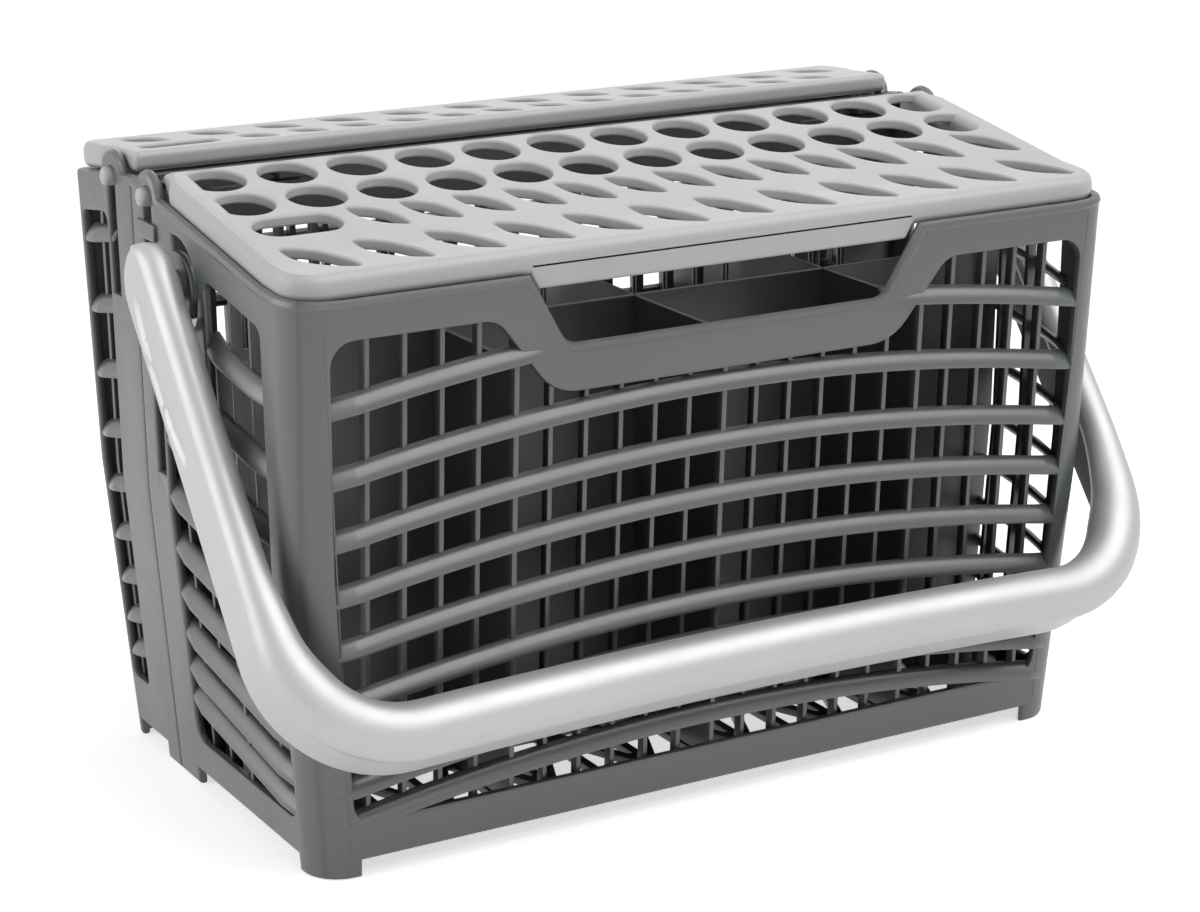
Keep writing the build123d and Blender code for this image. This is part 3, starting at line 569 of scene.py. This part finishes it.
# %% Wrapping tools
def wrap(side, s, z, w):
    """Place of an unrolled point: along the wall, up it, and in from its outer face."""
    radius = corner_of[side]
    flat = half_width(rim_level) - radius
    bend = radius * pi / 2
    run = half_depth(rim_level) - radius - seam_of[side]
    across, near = half_width(z) - radius, half_depth(z) - radius
    along = abs(s)
    if along <= flat:
        x, q = along * across / flat, half_depth(z) - w
    elif along <= flat + bend:
        turn = (along - flat) / radius
        x, q = across + (radius - w) * sin(turn), near + (radius - w) * cos(turn)
    else:
        x, q = half_width(z) - w, near + (along - flat - bend) / run * (seam_of[side] - near)
    return Vector((x if s > 0 else -x, side * q, z))


def on_face(side, x, v):
    """Unrolled place of a point on the front or back face."""
    z = up_face(v)
    radius = corner_of[side]
    return (x * (half_width(rim_level) - radius) / (half_width(z) - radius), z)


def on_end(side, hand, y, z):
    """Unrolled place of a point on an end wall."""
    radius = corner_of[side]
    near = half_depth(z) - radius
    run = half_depth(rim_level) - radius - seam_of[side]
    past = (side * y - near) / (seam_of[side] - near) * run
    return (hand * (half_width(rim_level) - radius + radius * pi / 2 + past), z)


def face_ring(side, points):
    """Unrolled places of points on the front or back face."""
    return [on_face(side, x, v) for x, v in points]


def end_ring(side, hand, points):
    """Unrolled places of points on an end wall."""
    return [on_end(side, hand, y, z) for y, z in points]


def on_side(hand, outline, thick, place):
    """A flat piece stood upright along an end of the basket."""
    flat = sheet([outline], thick, 0.6)
    return carry(flat, lambda y, z, t: Vector((hand * (place + t), y, z)))


print("wrapping tools: wrap, face_ring, end_ring, on_side")

# %% Walls and rolled edges
wall, wall_lip = 2.4, 0.85
bead_radius, bead_inset, rear_set_in = 1.55, 1.35, 0.4


def wrapped(side, rings):
    """A wall from its unrolled outline and holes, wrapped round both corners."""
    radius = corner_of[side]
    flat = half_width(rim_level) - radius
    bends = [flat + radius * pi / 2 * step / 8 for step in range(9)]
    bm = cut(sheet(rings, wall, wall_lip), 0, bends + [-place for place in bends])
    cut(bm, 1, [bend_level])
    return carry(bm, lambda s, z, t: wrap(side, s, z, wall / 2 - t))


def bead(side, path):
    """The rolled edge along an unrolled rim."""
    dense = [path[0]]
    for start, stop in zip(path, path[1:]):
        steps = max(1, int(hypot(stop[0] - start[0], stop[1] - start[1]) / 2.5))
        for step in range(1, steps + 1):
            part = step / steps
            dense.append((start[0] + (stop[0] - start[0]) * part, start[1] + (stop[1] - start[1]) * part))
    inset = []
    for index, place in enumerate(dense):
        before, after = dense[max(index - 1, 0)], dense[min(index + 1, len(dense) - 1)]
        way = Vector((after[0] - before[0], after[1] - before[1])).normalized()
        inset.append((place[0] + way.y * bead_inset, place[1] - way.x * bead_inset))
    deep = wall / 2 if side < 0 else wall / 2 + rear_set_in
    return rod([wrap(side, s, z, deep) for s, z in inset], bead_radius)


print("walls are", wall, "mm thick")

# %% Louvre bars
blade_tilt = radians(50.0)
blade_wide, blade_thick = 3.0, 1.2
blade_seat, blade_sink, sink_run = 1.0, 1.5, 9.0


def blade(side, where, run):
    """A louvre bar along a run of places and levels, its broad face tilted up and its ends sunk in."""
    first, last = run[0][0], run[-1][0]

    def place(along, p, q):
        wide, thick = p * blade_wide, q * blade_thick
        out = wide * cos(blade_tilt) + thick * sin(blade_tilt)
        up = thick * cos(blade_tilt) - wide * sin(blade_tilt)
        sunk = max(0.0, 1.0 - min(along - first, last - along) / sink_run)
        return wrap(side, *where(along, between(along, run) + up), blade_seat + blade_sink * sunk - out)

    stops = {along for along, _ in run} | {first + 4, first + sink_run, last - 4, last - sink_run}
    return carry(rod([(along, 0.0, 0.0) for along in sorted(stops)], 1.0, True, smooth=3), place)


print("louvre bars are", 2 * blade_wide, "by", 2 * blade_thick, "mm")

# %% Ears and slots
ear_radius, slot_half = 6.6, 2.55


def ear(pin, lift):
    """Points of the ear over a lid pin, from the back to the front along the rim."""
    reach = degrees(lift / ear_radius)
    slope = degrees(atan2(rim(pin[0] + 1) - rim(pin[0] - 1), 2.0))
    return arc(pin, ear_radius, slope + reach, 180.0 + slope - reach, 12)


def slot_ring(pin, low):
    """Outline of the upright slot under a lid pin."""
    return [(pin[0] - slot_half, low), (pin[0] + slot_half, low)] + arc(pin, slot_half, 0.0, 180.0, 10)


print("slots are", 2 * slot_half, "mm wide")

# %% [markdown]
# ## The front half
# The outline runs round the feet, up the seam, along the sloping rim with its ear, and through the
# finger notch. The front has one wide window under the notch. Each end has a window, a plain panel
# that carries the handle, and a long slot for the pin of the lid. It could be built face by face in
# place. Drawn unrolled it is one outline with holes, and all its lips are rounded at once.

# %% Front shell
notch_sill, panel_slat = 118.2, 7
pivot_level = 140.0
front_pin = (17.5, 159.66)


def slat_level(index, y):
    """Level of an end slat: the slats rise to the back and stand further apart higher up."""
    return 17.2 + 8.4 * index + 0.7 * index * (index - 1) + 0.16 * (y - knee)


front_window = rounded(
    [
        (-104, 15), (104, 15), (110, 139), (66, 139),
        (50, notch_sill), (-50, notch_sill), (-66, 139), (-110, 139),
    ],
    [5, 5, 6, 7, 14, 14, 7, 6],
)
notch = rounded([(-57, 148.9), (-46.5, 130.5), (46.5, 130.5), (57, 148.9)], [0, 5, 5, 0])
end_window = rounded(
    [
        (-50, 14), (13, 14), (13, slat_level(panel_slat, 13)), (-17, slat_level(panel_slat, -17)),
        (-17, rim(-17) - 10.5), (-50, rim(-50) - 10.5),
    ],
    [4, 5, 3, 3, 3, 3],
)
pivot_hole = arc((0, pivot_level), 4.1, 0, 345, 23)
stop_slot = arc((0, pivot_level), 12.9, 80, 241, 16) + arc((0, pivot_level), 9.1, 241, 80, 16)
foot_line = [(-102.1, 0), (-102.1, 4.5), (102.1, 4.5), (102.1, 0)]
end_feet = [(-48.9, 0), (-48.9, 4.5), (15.0, 4.5), (15.0, 0), (27.9, 0)]
end_rim = [(27.9, 163.1)] + ear(front_pin, 1.7) + [(knee, 150.2), (-57.0, rim(-57.0))]
front_rim = [(-106, 148.95)] + notch + [(106, 148.95)]
foot_path = end_ring(-1, -1, end_feet[::-1]) + face_ring(-1, foot_line) + end_ring(-1, 1, end_feet)
rim_path = end_ring(-1, -1, end_rim) + face_ring(-1, front_rim) + end_ring(-1, 1, end_rim[::-1])
front_rings = [foot_path + rim_path[::-1], face_ring(-1, front_window)]
for hand in (-1, 1):
    for ring in (end_window, slot_ring(front_pin, 87.0), pivot_hole, stop_slot):
        front_rings.append(end_ring(-1, hand, ring))
front_parts = [wrapped(-1, front_rings), bead(-1, rim_path)]
tool_line = [(105.3, 7.0), (107.0, 42.0), (108.4, 77.0), (110.0, 110.0), (111.6, 146.0)]
for hand in (-1, 1):
    front_parts.append(rod([wrap(-1, *on_face(-1, hand * x, v), 0.12) for x, v in tool_line], 0.24))
print("front shell has", len(front_parts[0].faces), "faces")

# %% [markdown]
# ### Louvre bars, slats and ribs
# Bars arch across the front window, and slats of the same section rise along the ends. They could be
# bevelled boxes. Here each is a flattened rod with its broad face tilted up, because that has no hard
# edge and shines along its top. Thin upright ribs stand behind them.

# %% Front bars, slats and ribs
bar_reach, bar_rise = 112, 10.6
rib_pitch, rib_foot = 9.95, 8.5
rib_thick, rib_lip = 3.0, 0.35
rib_depth, back_rib_depth = 3.7, 3.4
thin_rib, stout_rib = 0.7, 0.95


def rib(middle, half, top):
    """Outline of an upright rib."""
    left, right = middle - half, middle + half
    return [(left, rib_foot), (right, rib_foot), (right, top), (left, top)]


def end_ribs(hand, rings):
    """Upright ribs just inside an end wall."""
    flat = cut(sheet(rings, rib_thick, rib_lip), 1, [bend_level])
    return carry(flat, lambda y, z, t: Vector((hand * (half_width(z) - rib_depth + t), y, z)))


for level in (24.2, 33.5, 45.0, 56.4, 70.7, 84.9, 99.2, 115.0, 132.6):
    arch = [(x, level - bar_rise * (x / bar_reach) ** 2) for x in range(-bar_reach, bar_reach + 1, 8)]
    runs = [arch]
    if level > notch_sill:
        runs = [[p for p in arch if p[0] <= -48], [p for p in arch if p[0] >= 48]]
    for run in runs:
        front_parts.append(blade(-1, lambda x, v: on_face(-1, x, v), run))
for index in range(9):
    stops = (-52.5, -30.0, -10.0, 14.5) if index < 8 else (-52.5, -30.0, -15.5)
    run = [(y, slat_level(index, y)) for y in stops]
    for hand in (-1, 1):
        front_parts.append(blade(-1, lambda y, z, h=hand: on_end(-1, h, y, z), run))
face_ribs = []
for index in range(-10, 11):
    x = index * rib_pitch
    face_ribs.append(rib(x, thin_rib, 122.0 if abs(x) < 57 else 143.0))
front_parts.append(carry(
    sheet(face_ribs, rib_thick, rib_lip),
    lambda x, v, t: Vector((x, rib_depth - t - half_depth(up_face(v)), up_face(v))),
))
front_end_ribs = []
for index in range(5):
    y = 11.6 * index - 39.0
    top = rim(y) - 8.0 if y < -17 else slat_level(panel_slat, y) + 3.0
    front_end_ribs.append(rib(y, thin_rib, top))
front_parts += [end_ribs(hand, front_end_ribs) for hand in (-1, 1)]
print("front half has", len(front_parts), "parts so far")

# %% [markdown]
# ### Floors, dividers and parting walls
# A floor is a plate with triangular openings. Walls across the basket and three dividers part the
# inside into cells. The walls at the seam have upright slots, and the one of the front half has
# notches for the hooks of the rear half. All of them are flat, so each is one sheet, which needs no
# wrapping and is only moved to its place.

# %% Floors, dividers and parting walls
floor_level, divider_top = 9.0, 127.5
divider_thick, divider_lip = 1.6, 0.5
seam_top, seam_slots = 163.0, 20
hook_ends = (-74.0, 107.6)
hook_notch_wide, hook_notch_deep = 24.0, 4.9
floor_inset, floor_thick, floor_middle = 1.2, 2.5, 9.25
lattice_wide, strut_half = 179.1, 1.3


def across_wall(place, top, slots=0, notches=()):
    """A wall across the basket, with upright slots and notches in its top edge."""
    edge = [(half_width(z) - 1.0, z) for z in (floor_level, bend_level, top)]
    low = top - hook_notch_deep
    crown = []
    for end in sorted(notches, reverse=True):
        start = end - hook_notch_wide
        crown += [(end, top), (end, low), (start, low), (start, top)]
    rings = [edge + crown + [(-x, z) for x, z in reversed(edge)]]
    for index in range(slots):
        x = (index - (slots - 1) / 2) * rib_pitch
        rings.append(rounded([(x - 3.9, 18), (x + 3.9, 18), (x + 3.9, 148), (x - 3.9, 148)], [1.5] * 4, 3))
    flat = cut(sheet(rings, divider_thick, divider_lip), 1, [bend_level])
    return carry(flat, lambda x, z, t: Vector((x, place + t, z)))


def lattice(front, back, cells):
    """Triangular openings of one row of the floor."""
    rings = []
    pitch = lattice_wide / cells
    reach, deep = pitch / 2 - strut_half, (back - front) / 2 - 1.5
    skew = strut_half * hypot(reach, deep)
    corners = [(-reach + skew / deep, -deep), (reach, -deep), (reach, deep - skew / reach)]
    for cell in range(cells):
        x, y = (cell - (cells - 1) / 2) * pitch, (front + back) / 2
        flip = 1 if cell % 2 else -1
        for sign in (1, -1):
            rings.append(rounded([(x + flip * sign * u, y + sign * v) for u, v in corners], [0.6] * 3, 2))
    return rings


def at_seam(side):
    """Middle of the parting wall at the seam of one half."""
    return side * (seam_of[side] + divider_thick / 2)


def basket_floor(side, rows):
    """The lattice floor of one half."""
    seam, deep = at_seam(side), side * (half_depth(floor_level) - floor_inset)
    wide = half_width(floor_level) - floor_inset
    corner = corner_of[side] - floor_inset
    rings = [rounded([(-wide, seam), (-wide, deep), (wide, deep), (wide, seam)], [0, corner, corner, 0])]
    for front, back in rows:
        rings += lattice(front, back, 12)
    return carry(sheet(rings, floor_thick, 0.5), lambda x, y, t: Vector((x, y, floor_middle + t)))


def cross_dividers(side):
    """The three upright dividers from the front or back wall to the parting wall."""
    ring = [(side * (half_depth(z) - 1.5), z) for z in (floor_level, divider_top)]
    ring += [(at_seam(side), z) for z in (divider_top, floor_level)]
    for index in (-6, 0, 6):
        flat = sheet([ring], divider_thick, divider_lip)
        yield carry(flat, lambda y, z, t, x=index * rib_pitch: Vector((x + t, y, z)))


front_parts.append(basket_floor(-1, [(-54.0, -21.0), (-19.8, 22.0)]))
front_parts.append(across_wall(-20.4, divider_top))
front_parts.append(across_wall(at_seam(-1), seam_top, seam_slots, hook_ends))
front_parts += cross_dividers(-1)
clip = rounded([(11.4, 148.8), (23.6, 148.8), (23.6, 153.4), (11.4, 153.4)], [0.8] * 4, 3)
front_parts += [on_side(hand, clip, 3.2, 119.25) for hand in (-1, 1)]
settle("front_basket", "basket", front_parts)

# %% [markdown]
# ## The rear half
# The rear half is shallower, with falling slats on its ends and level bars at the back. Two hooks
# reach through the notches of the front half.

# %% Rear shell
rear_pin = (42.0, 160.83)
rear_window = rounded([(46.5, 18), (57.2, 18), (64.2, 147.9), (46.5, 150.5)], [2, 2, 2, 3])
back_window = face_ring(1, [(-106, 18), (106, 18), (106, 146), (-106, 146)])
rear_feet = [(56.0, 0), (56.0, 4.5), (37.0, 4.5), (37.0, 0), (28.1, 0)]
back_rim = [(28.1, 163.1)] + ear(rear_pin, 0.6)[::-1] + [(64.0, rim(64.0))]
back_top = [(-114.0, 158.3), (114.0, 158.3)]
rear_foot = end_ring(1, -1, rear_feet[::-1]) + face_ring(1, foot_line) + end_ring(1, 1, rear_feet)
rear_path = end_ring(1, -1, back_rim) + face_ring(1, back_top) + end_ring(1, 1, back_rim[::-1])
rear_rings = [rear_foot + rear_path[::-1], rounded(back_window, [4] * 4)]
for hand in (-1, 1):
    for ring in (rear_window, slot_ring(rear_pin, 129.5)):
        rear_rings.append(end_ring(1, hand, ring))
rear_parts = [wrapped(1, rear_rings), bead(1, rear_path)]
print("rear shell has", len(rear_parts[0].faces), "faces")

# %% [markdown]
# ### Bars, slats and hooks of the rear half
# The bars at the back are plain round rods. The slats, ribs, floor and dividers are made as in the
# front half, and the hooks stand on the wall at the seam.

# %% Rear bars, slats, ribs and hooks
back_bar = 2.1
for index in range(8):
    level = 15.8 + 14.71 * (index + 1)
    rear_parts.append(rod([wrap(1, *on_face(1, x, level), back_bar) for x in (-108, 0, 108)], back_bar))
for index in range(9):
    low = 28.7 + 10 * index + 0.65 * index * (index - 1)
    run = [(44.5, low), (55.0, low - 1.8), (half_depth(low) - 3.0, low - 3.4)]
    for hand in (-1, 1):
        rear_parts.append(blade(1, lambda y, z, h=hand: on_end(1, h, y, z), run))
back_ribs = [rib(index * rib_pitch, stout_rib, 149.0) for index in range(-10, 11)]
rear_parts.append(carry(
    sheet(back_ribs, rib_thick, rib_lip),
    lambda x, v, t: Vector((x, half_depth(up_face(v)) - back_rib_depth + t, up_face(v))),
))
rear_parts += [end_ribs(hand, [rib(56.0, stout_rib, 151.0)]) for hand in (-1, 1)]
rear_parts.append(basket_floor(1, [(34.0, 54.7)]))
rear_parts.append(across_wall(at_seam(1), seam_top, seam_slots))
rear_parts += cross_dividers(1)
for end in hook_ends:
    hook = [
        (end - 6.5, 29.0), (end - 6.5, 23.9), (end + 8.5, 23.9),
        (end + 8.5, 25.8), (end - 0.5, 25.8), (end - 0.5, 29.0),
    ]
    rear_parts.append(carry(sheet([hook], 3.0, 0.5), lambda x, y, t: Vector((x, y, 160.2 + t))))
settle("rear_basket", "basket", rear_parts)

# %% [markdown]
# ## The lids
# A lid is a plate with rounded openings and a rolled edge. The front lid has round openings near its
# hinge and slanting pointed ovals further forward. The rear lid has ovals only. Each lid also has one
# oblong opening at the left. Plate and edge could be one mesh with a varying thickness. Two sheets are
# simpler: a thin one with the openings and a thick one with a round lip.

# %% Lid openings
leaf_turn, leaf_tip = radians(-55.0), 0.88


def leaf(x, y, length, width):
    """A slanting pointed oval with soft tips."""
    reach, half = length * 0.525, width / 2
    end = leaf_tip * reach
    low = half * (1 - leaf_tip ** 2)
    tilt = 2 * half * end / reach ** 2
    middle = end - low * tilt
    side = [(end * step / 5, half * (1 - (end * step / 5 / reach) ** 2)) for step in range(-4, 5)]
    open_turn = degrees(atan2(1.0, tilt))
    cap = arc((middle, 0.0), low * hypot(1.0, tilt), open_turn, -open_turn, 5)
    flat = side + cap + [(-u, -v) for u, v in side] + [(-u, -v) for u, v in cap]
    c, s = cos(leaf_turn), sin(leaf_turn)
    return [(x + u * c - v * s, y + u * s + v * c) for u, v in flat]


def oblong(x, y, length, width):
    """A slot with round ends."""
    reach = (length - width) / 2
    return arc((x - reach, y), width / 2, 90, 270, 12) + arc((x + reach, y), width / 2, -90, 90, 12)


front_openings = [oblong(-100.0, -30.2, 23.0, 12.0)]
for row in (3.9, -13.6):
    front_openings += [arc((19.38 * (index - 5.5), row), 7.6, 0, 348, 29) for index in range(12)]
front_openings += [leaf(14.6 * index - 78.6, -30.2, 18.0, 7.6) for index in range(10)]
front_openings += [leaf(68.0 + 18.8 * index, -30.2, 20.6, 8.6) for index in range(3)]
front_openings += [leaf(19.1 * index - 104.5, -52.4, 22.4, 8.8) for index in range(12)]
rear_openings = [oblong(-101.0, 41.6, 23.0, 7.6)]
rear_openings += [leaf(14.6 * index - 78.6, 41.6, 13.0, 7.0) for index in range(13)]
rear_openings += [leaf(19.1 * index - 104.5, 56.2, 15.4, 8.4) for index in range(12)]
print(len(front_openings), "openings in front,", len(rear_openings), "behind")

# %% [markdown]
# ### The front lid
# The rolled edge runs along the front and both ends, and is left open along the hinge. A tab hangs in
# the finger notch, and a lug at each rear corner carries a hinge pin.

# %% Front lid
lid_rear, rim_inner = 13.8, 110.5
plate_thick, plate_lip = 2.8, 0.7
lug_thick, lug_place = 2.4, 115.5


def lid_outline(inset, corner):
    """Outline of the front lid: full width, then a little narrower between the ears."""
    wide, slim, front, rear = 118.5 - inset, 116.7 - inset, inset - 66.6, lid_rear - inset
    step = min(9.5, rear - 0.6)
    square = [(-wide, front), (wide, front), (wide, 0.0), (-wide, 0.0)]
    ring = rounded(square, [corner, corner, 0, 0], 7)[:16]
    ring += [(wide, step - 4.0), (slim, step), (slim, rear)]
    ring += [(-slim, rear), (-slim, step), (-wide, step - 4.0)]
    return ring


def over_rim(rings, thick, lip, smooth, lift):
    """A sheet laid along the sloping rim, its middle lifted off it."""
    flat = cut(sheet(rings, thick, lip, smooth), 1, [knee])
    return carry(flat, lambda x, y, t: Vector((x, y, rim(y) + lift + t)))


def hinge_pin(hand, place):
    """A hinge pin with a rounded end, through the end wall."""
    profile = [(113.0, 0.0), (113.0, 2.5), (121.3, 2.5), (122.0, 2.1), (122.4, 1.2), (122.4, 0.0)]
    return turned([(hand * x, radius) for x, radius in profile], place)


outer, inner = lid_outline(0.0, 9.0), lid_outline(6.2, 3.0)
lid_rim = outer[:19] + [(rim_inner, lid_rear)] + inner[15::-1] + [(-rim_inner, lid_rear)] + outer[19:]
lid_plate = [lid_outline(1.2, 7.8)] + front_openings
tab = rounded(
    [(-53.8, 144.7), (53.8, 144.7), (56.2, 149.0), (56.2, 151.5), (-56.2, 151.5), (-56.2, 149.0)],
    [1.2, 1.2, 0, 0, 0, 0],
)
lug = rounded(
    [
        (11.4, rim(11.4) + 0.5), (15.3, 155.3), (19.7, 155.3), (21.9, 157.5), (21.9, 161.8),
        (13.8, rim(13.8) + 3.4), (11.4, rim(11.4) + 3.4),
    ],
    [0.0, 1.5, 1.5, 1.5, 1.5, 0.0, 0.0], 3,
)
front_lid_parts = [
    over_rim([lid_rim], 7.0, 2.5, 3, 2.2),
    over_rim(lid_plate, plate_thick, plate_lip, 2, 4.28),
    carry(sheet([tab], 2.0, 0.8, 2), lambda x, z, t: Vector((x, t - 65.6, z))),
]
for hand in (-1, 1):
    front_lid_parts += [on_side(hand, lug, lug_thick, lug_place), hinge_pin(hand, front_pin)]
settle("front_lid", "lid", front_lid_parts)

# %% [markdown]
# ### The rear lid
# The rolled edge of the rear lid runs all round. Its top falls a little to the back, and its underside
# follows the rim.

# %% Rear lid
edge_thick, edge_gap = 5.0, 0.35


def rear_top(y):
    """Height of the top of the rear lid."""
    return 168.2 - 2.4 * (y - 32.0) / 35.2


def rear_height(y, t):
    """Height in the rolled edge, from just over the rim to the top."""
    low = rim(y) + edge_gap
    return low + (rear_top(y) - low) * (t / edge_thick + 0.5)


rear_edge = [(-116.7, 32.0), (116.7, 32.0), (116.7, 48.8), (118.5, 52.4), (118.5, 67.2)]
rear_edge += [(-118.5, 67.2), (-118.5, 52.4), (-116.7, 48.8)]
rear_inner = [(-110.7, 37.0), (110.7, 37.0), (110.7, 62.2), (-110.7, 62.2)]
rear_plate = [(-115.5, 33.2), (115.5, 33.2), (115.5, 66.0), (-115.5, 66.0)]
rear_ring = [rounded(rear_edge, [1.5, 1.5, 0, 0, 3, 3, 0, 0], 3), rounded(rear_inner, [1.5] * 4, 3)]
rear_lid_plate = [rounded(rear_plate, [1.5] * 4, 3)] + rear_openings
rear_lug = rounded(
    [(37.6, 158.6), (39.8, 156.4), (44.2, 156.4), (46.4, 158.6), (46.4, 165.0), (37.6, 165.0)],
    [1, 1.5, 1.5, 1, 0, 0], 3,
)
rear_lid_parts = [
    carry(sheet(rear_ring, edge_thick, 1.7, 3), lambda x, y, t: Vector((x, y, rear_height(y, t)))),
    carry(
        sheet(rear_lid_plate, plate_thick, plate_lip, 2),
        lambda x, y, t: Vector((x, y, rear_top(y) - 1.45 + t)),
    ),
]
for hand in (-1, 1):
    rear_lid_parts += [on_side(hand, rear_lug, lug_thick, lug_place), hinge_pin(hand, rear_pin)]
settle("rear_lid", "lid", rear_lid_parts)

# %% [markdown]
# ## The bail handle
# The handle is a strip with a round ridge along its front edge. On the crossbar the ridge swells
# into a fat round grip. A bevelled curve could sweep one section along the path, but this section
# changes on its way. So it is set square to the path at many stations, and each pair of neighbouring
# sections is bridged. The stations are close together where the arm has its recess.

# %% Handle path
lean = radians(38.6)
bail_half, bail_length, bail_corner, bail_bow = 131.5, 134.4, 36.5, 3.7
arm_end, dense_end = bail_length - bail_corner, 56
arm_stops = [-10.97, -10.8, -10.4, -9.6, -8.4, -7.0, -5.0, -2.5] + list(range(dense_end + 1))
arm_stops += [dense_end + (arm_end - dense_end) * step / 10 for step in range(1, 11)]
bail_path = [(-bail_half, d) for d in arm_stops]
bail_path += arc((bail_corner - bail_half, arm_end), bail_corner, 180.0, 90.0, 16)[1:]
bail_path += [((bail_corner - bail_half) * (1 - step / 12), bail_length) for step in range(1, 13)]
bail_path += [(-x, d) for x, d in reversed(bail_path[:-1])]
bail_path = [(x, d - bail_bow * (1 - (x / bail_half) ** 2)) for x, d in bail_path]
print("handle path has", len(bail_path), "stations")

# %% Handle section
strip_face, strip_back, strip_edge, strip_middle = 1.2, 3.8, -8.2, 2.5
recess_middle, recess_half, recess_deep = (23.0, -2.2), (25.0, 4.6), 0.8
arm_tip = 11.0


def eased(part):
    """A share from nought to one with a soft start and a soft end."""
    part = min(1.0, max(0.0, part))
    return part * part * (3 - 2 * part)


def bail_section(d, grip):
    """The section as (inwards, forwards) points: the strip, its recess and the ridge."""
    mid_e, mid_n = 4.45 + 2.85 * grip, 8.5 - 2.9 * grip
    size_e, size_n = mid_e, 4.45 + 2.9 * grip
    meet = mid_n - size_n * sqrt(1 - ((mid_e - strip_face) / size_e) ** 2)
    leave = mid_n - size_n * sqrt(1 - ((mid_e - strip_back) / size_e) ** 2)
    first = atan2((meet - mid_n) / size_n, (strip_face - mid_e) / size_e)
    last = atan2((leave - mid_n) / size_n, (strip_back - mid_e) / size_e)
    along = (d - recess_middle[0]) / recess_half[0]
    points = []
    for step in range(25):
        n = strip_edge + (meet - strip_edge - 0.3) * step / 24
        across = (n - recess_middle[1]) / recess_half[1]
        points.append((strip_face + recess_deep * eased(3.2 * (1 - along ** 2 - across ** 2)), n))
    sweep = (last - first) % (2 * pi) - 2 * pi
    for step in range(21):
        turn = first + sweep * step / 20
        points.append((mid_e + size_e * cos(turn), mid_n + size_n * sin(turn)))
    points += [(strip_back, leave + (strip_edge - leave) * step / 4) for step in range(1, 5)]
    points += [(3.4, -8.85), (strip_middle, -9.0), (1.6, -8.85)]
    if d < 0:
        close = sqrt(1 - (d / arm_tip) ** 2)
        thin = close ** 0.6
        points = [(strip_middle + (e - strip_middle) * thin, 2.0 + (n - 2.0) * close) for e, n in points]
    return points


def bail_place(x, d, n):
    """Place of a point of the handle's own plane."""
    return Vector((x, -sin(lean) * d - cos(lean) * n, pivot_level - cos(lean) * d + sin(lean) * n))


print("section has", len(bail_section(0.0, 0.0)), "points")

# %% Handle
bail = bmesh.new()
loops = []
for index, (x, d) in enumerate(bail_path):
    before, after = bail_path[max(index - 1, 0)], bail_path[min(index + 1, len(bail_path) - 1)]
    way = Vector((after[0] - before[0], after[1] - before[1])).normalized()
    grip = eased((d - 78.0) / (bail_length - 96.0))
    ring = []
    for e, n in bail_section(d, grip):
        ring.append(bail.verts.new(bail_place(x + way.y * e, d - way.x * e, n)))
    loops.append([bail.edges.new((a, b)) for a, b in zip(ring, ring[1:] + ring[:1])])
    if index in (0, len(bail_path) - 1):
        bail.faces.new(ring)
for first_loop, next_loop in zip(loops, loops[1:]):
    bmesh.ops.bridge_loops(bail, edges=first_loop + next_loop)
handle_parts = [bail]
pivot = [(116.7, 0.0), (116.7, 3.4), (117.3, 4.0), (129.0, 4.0), (129.0, 0.0)]
peg = rounded([(9.6, -1.4), (12.4, -1.4), (12.4, 1.4), (9.6, 1.4)], [0.4] * 4, 2)
for hand in (-1, 1):
    handle_parts.append(turned([(hand * x, radius) for x, radius in pivot], (0.0, pivot_level)))
    block = sheet([peg], 12.0, 0.3)
    handle_parts.append(carry(block, lambda d, n, t, h=hand: bail_place(h * (122.8 + t), d, n)))
settle("handle", "handle", handle_parts)
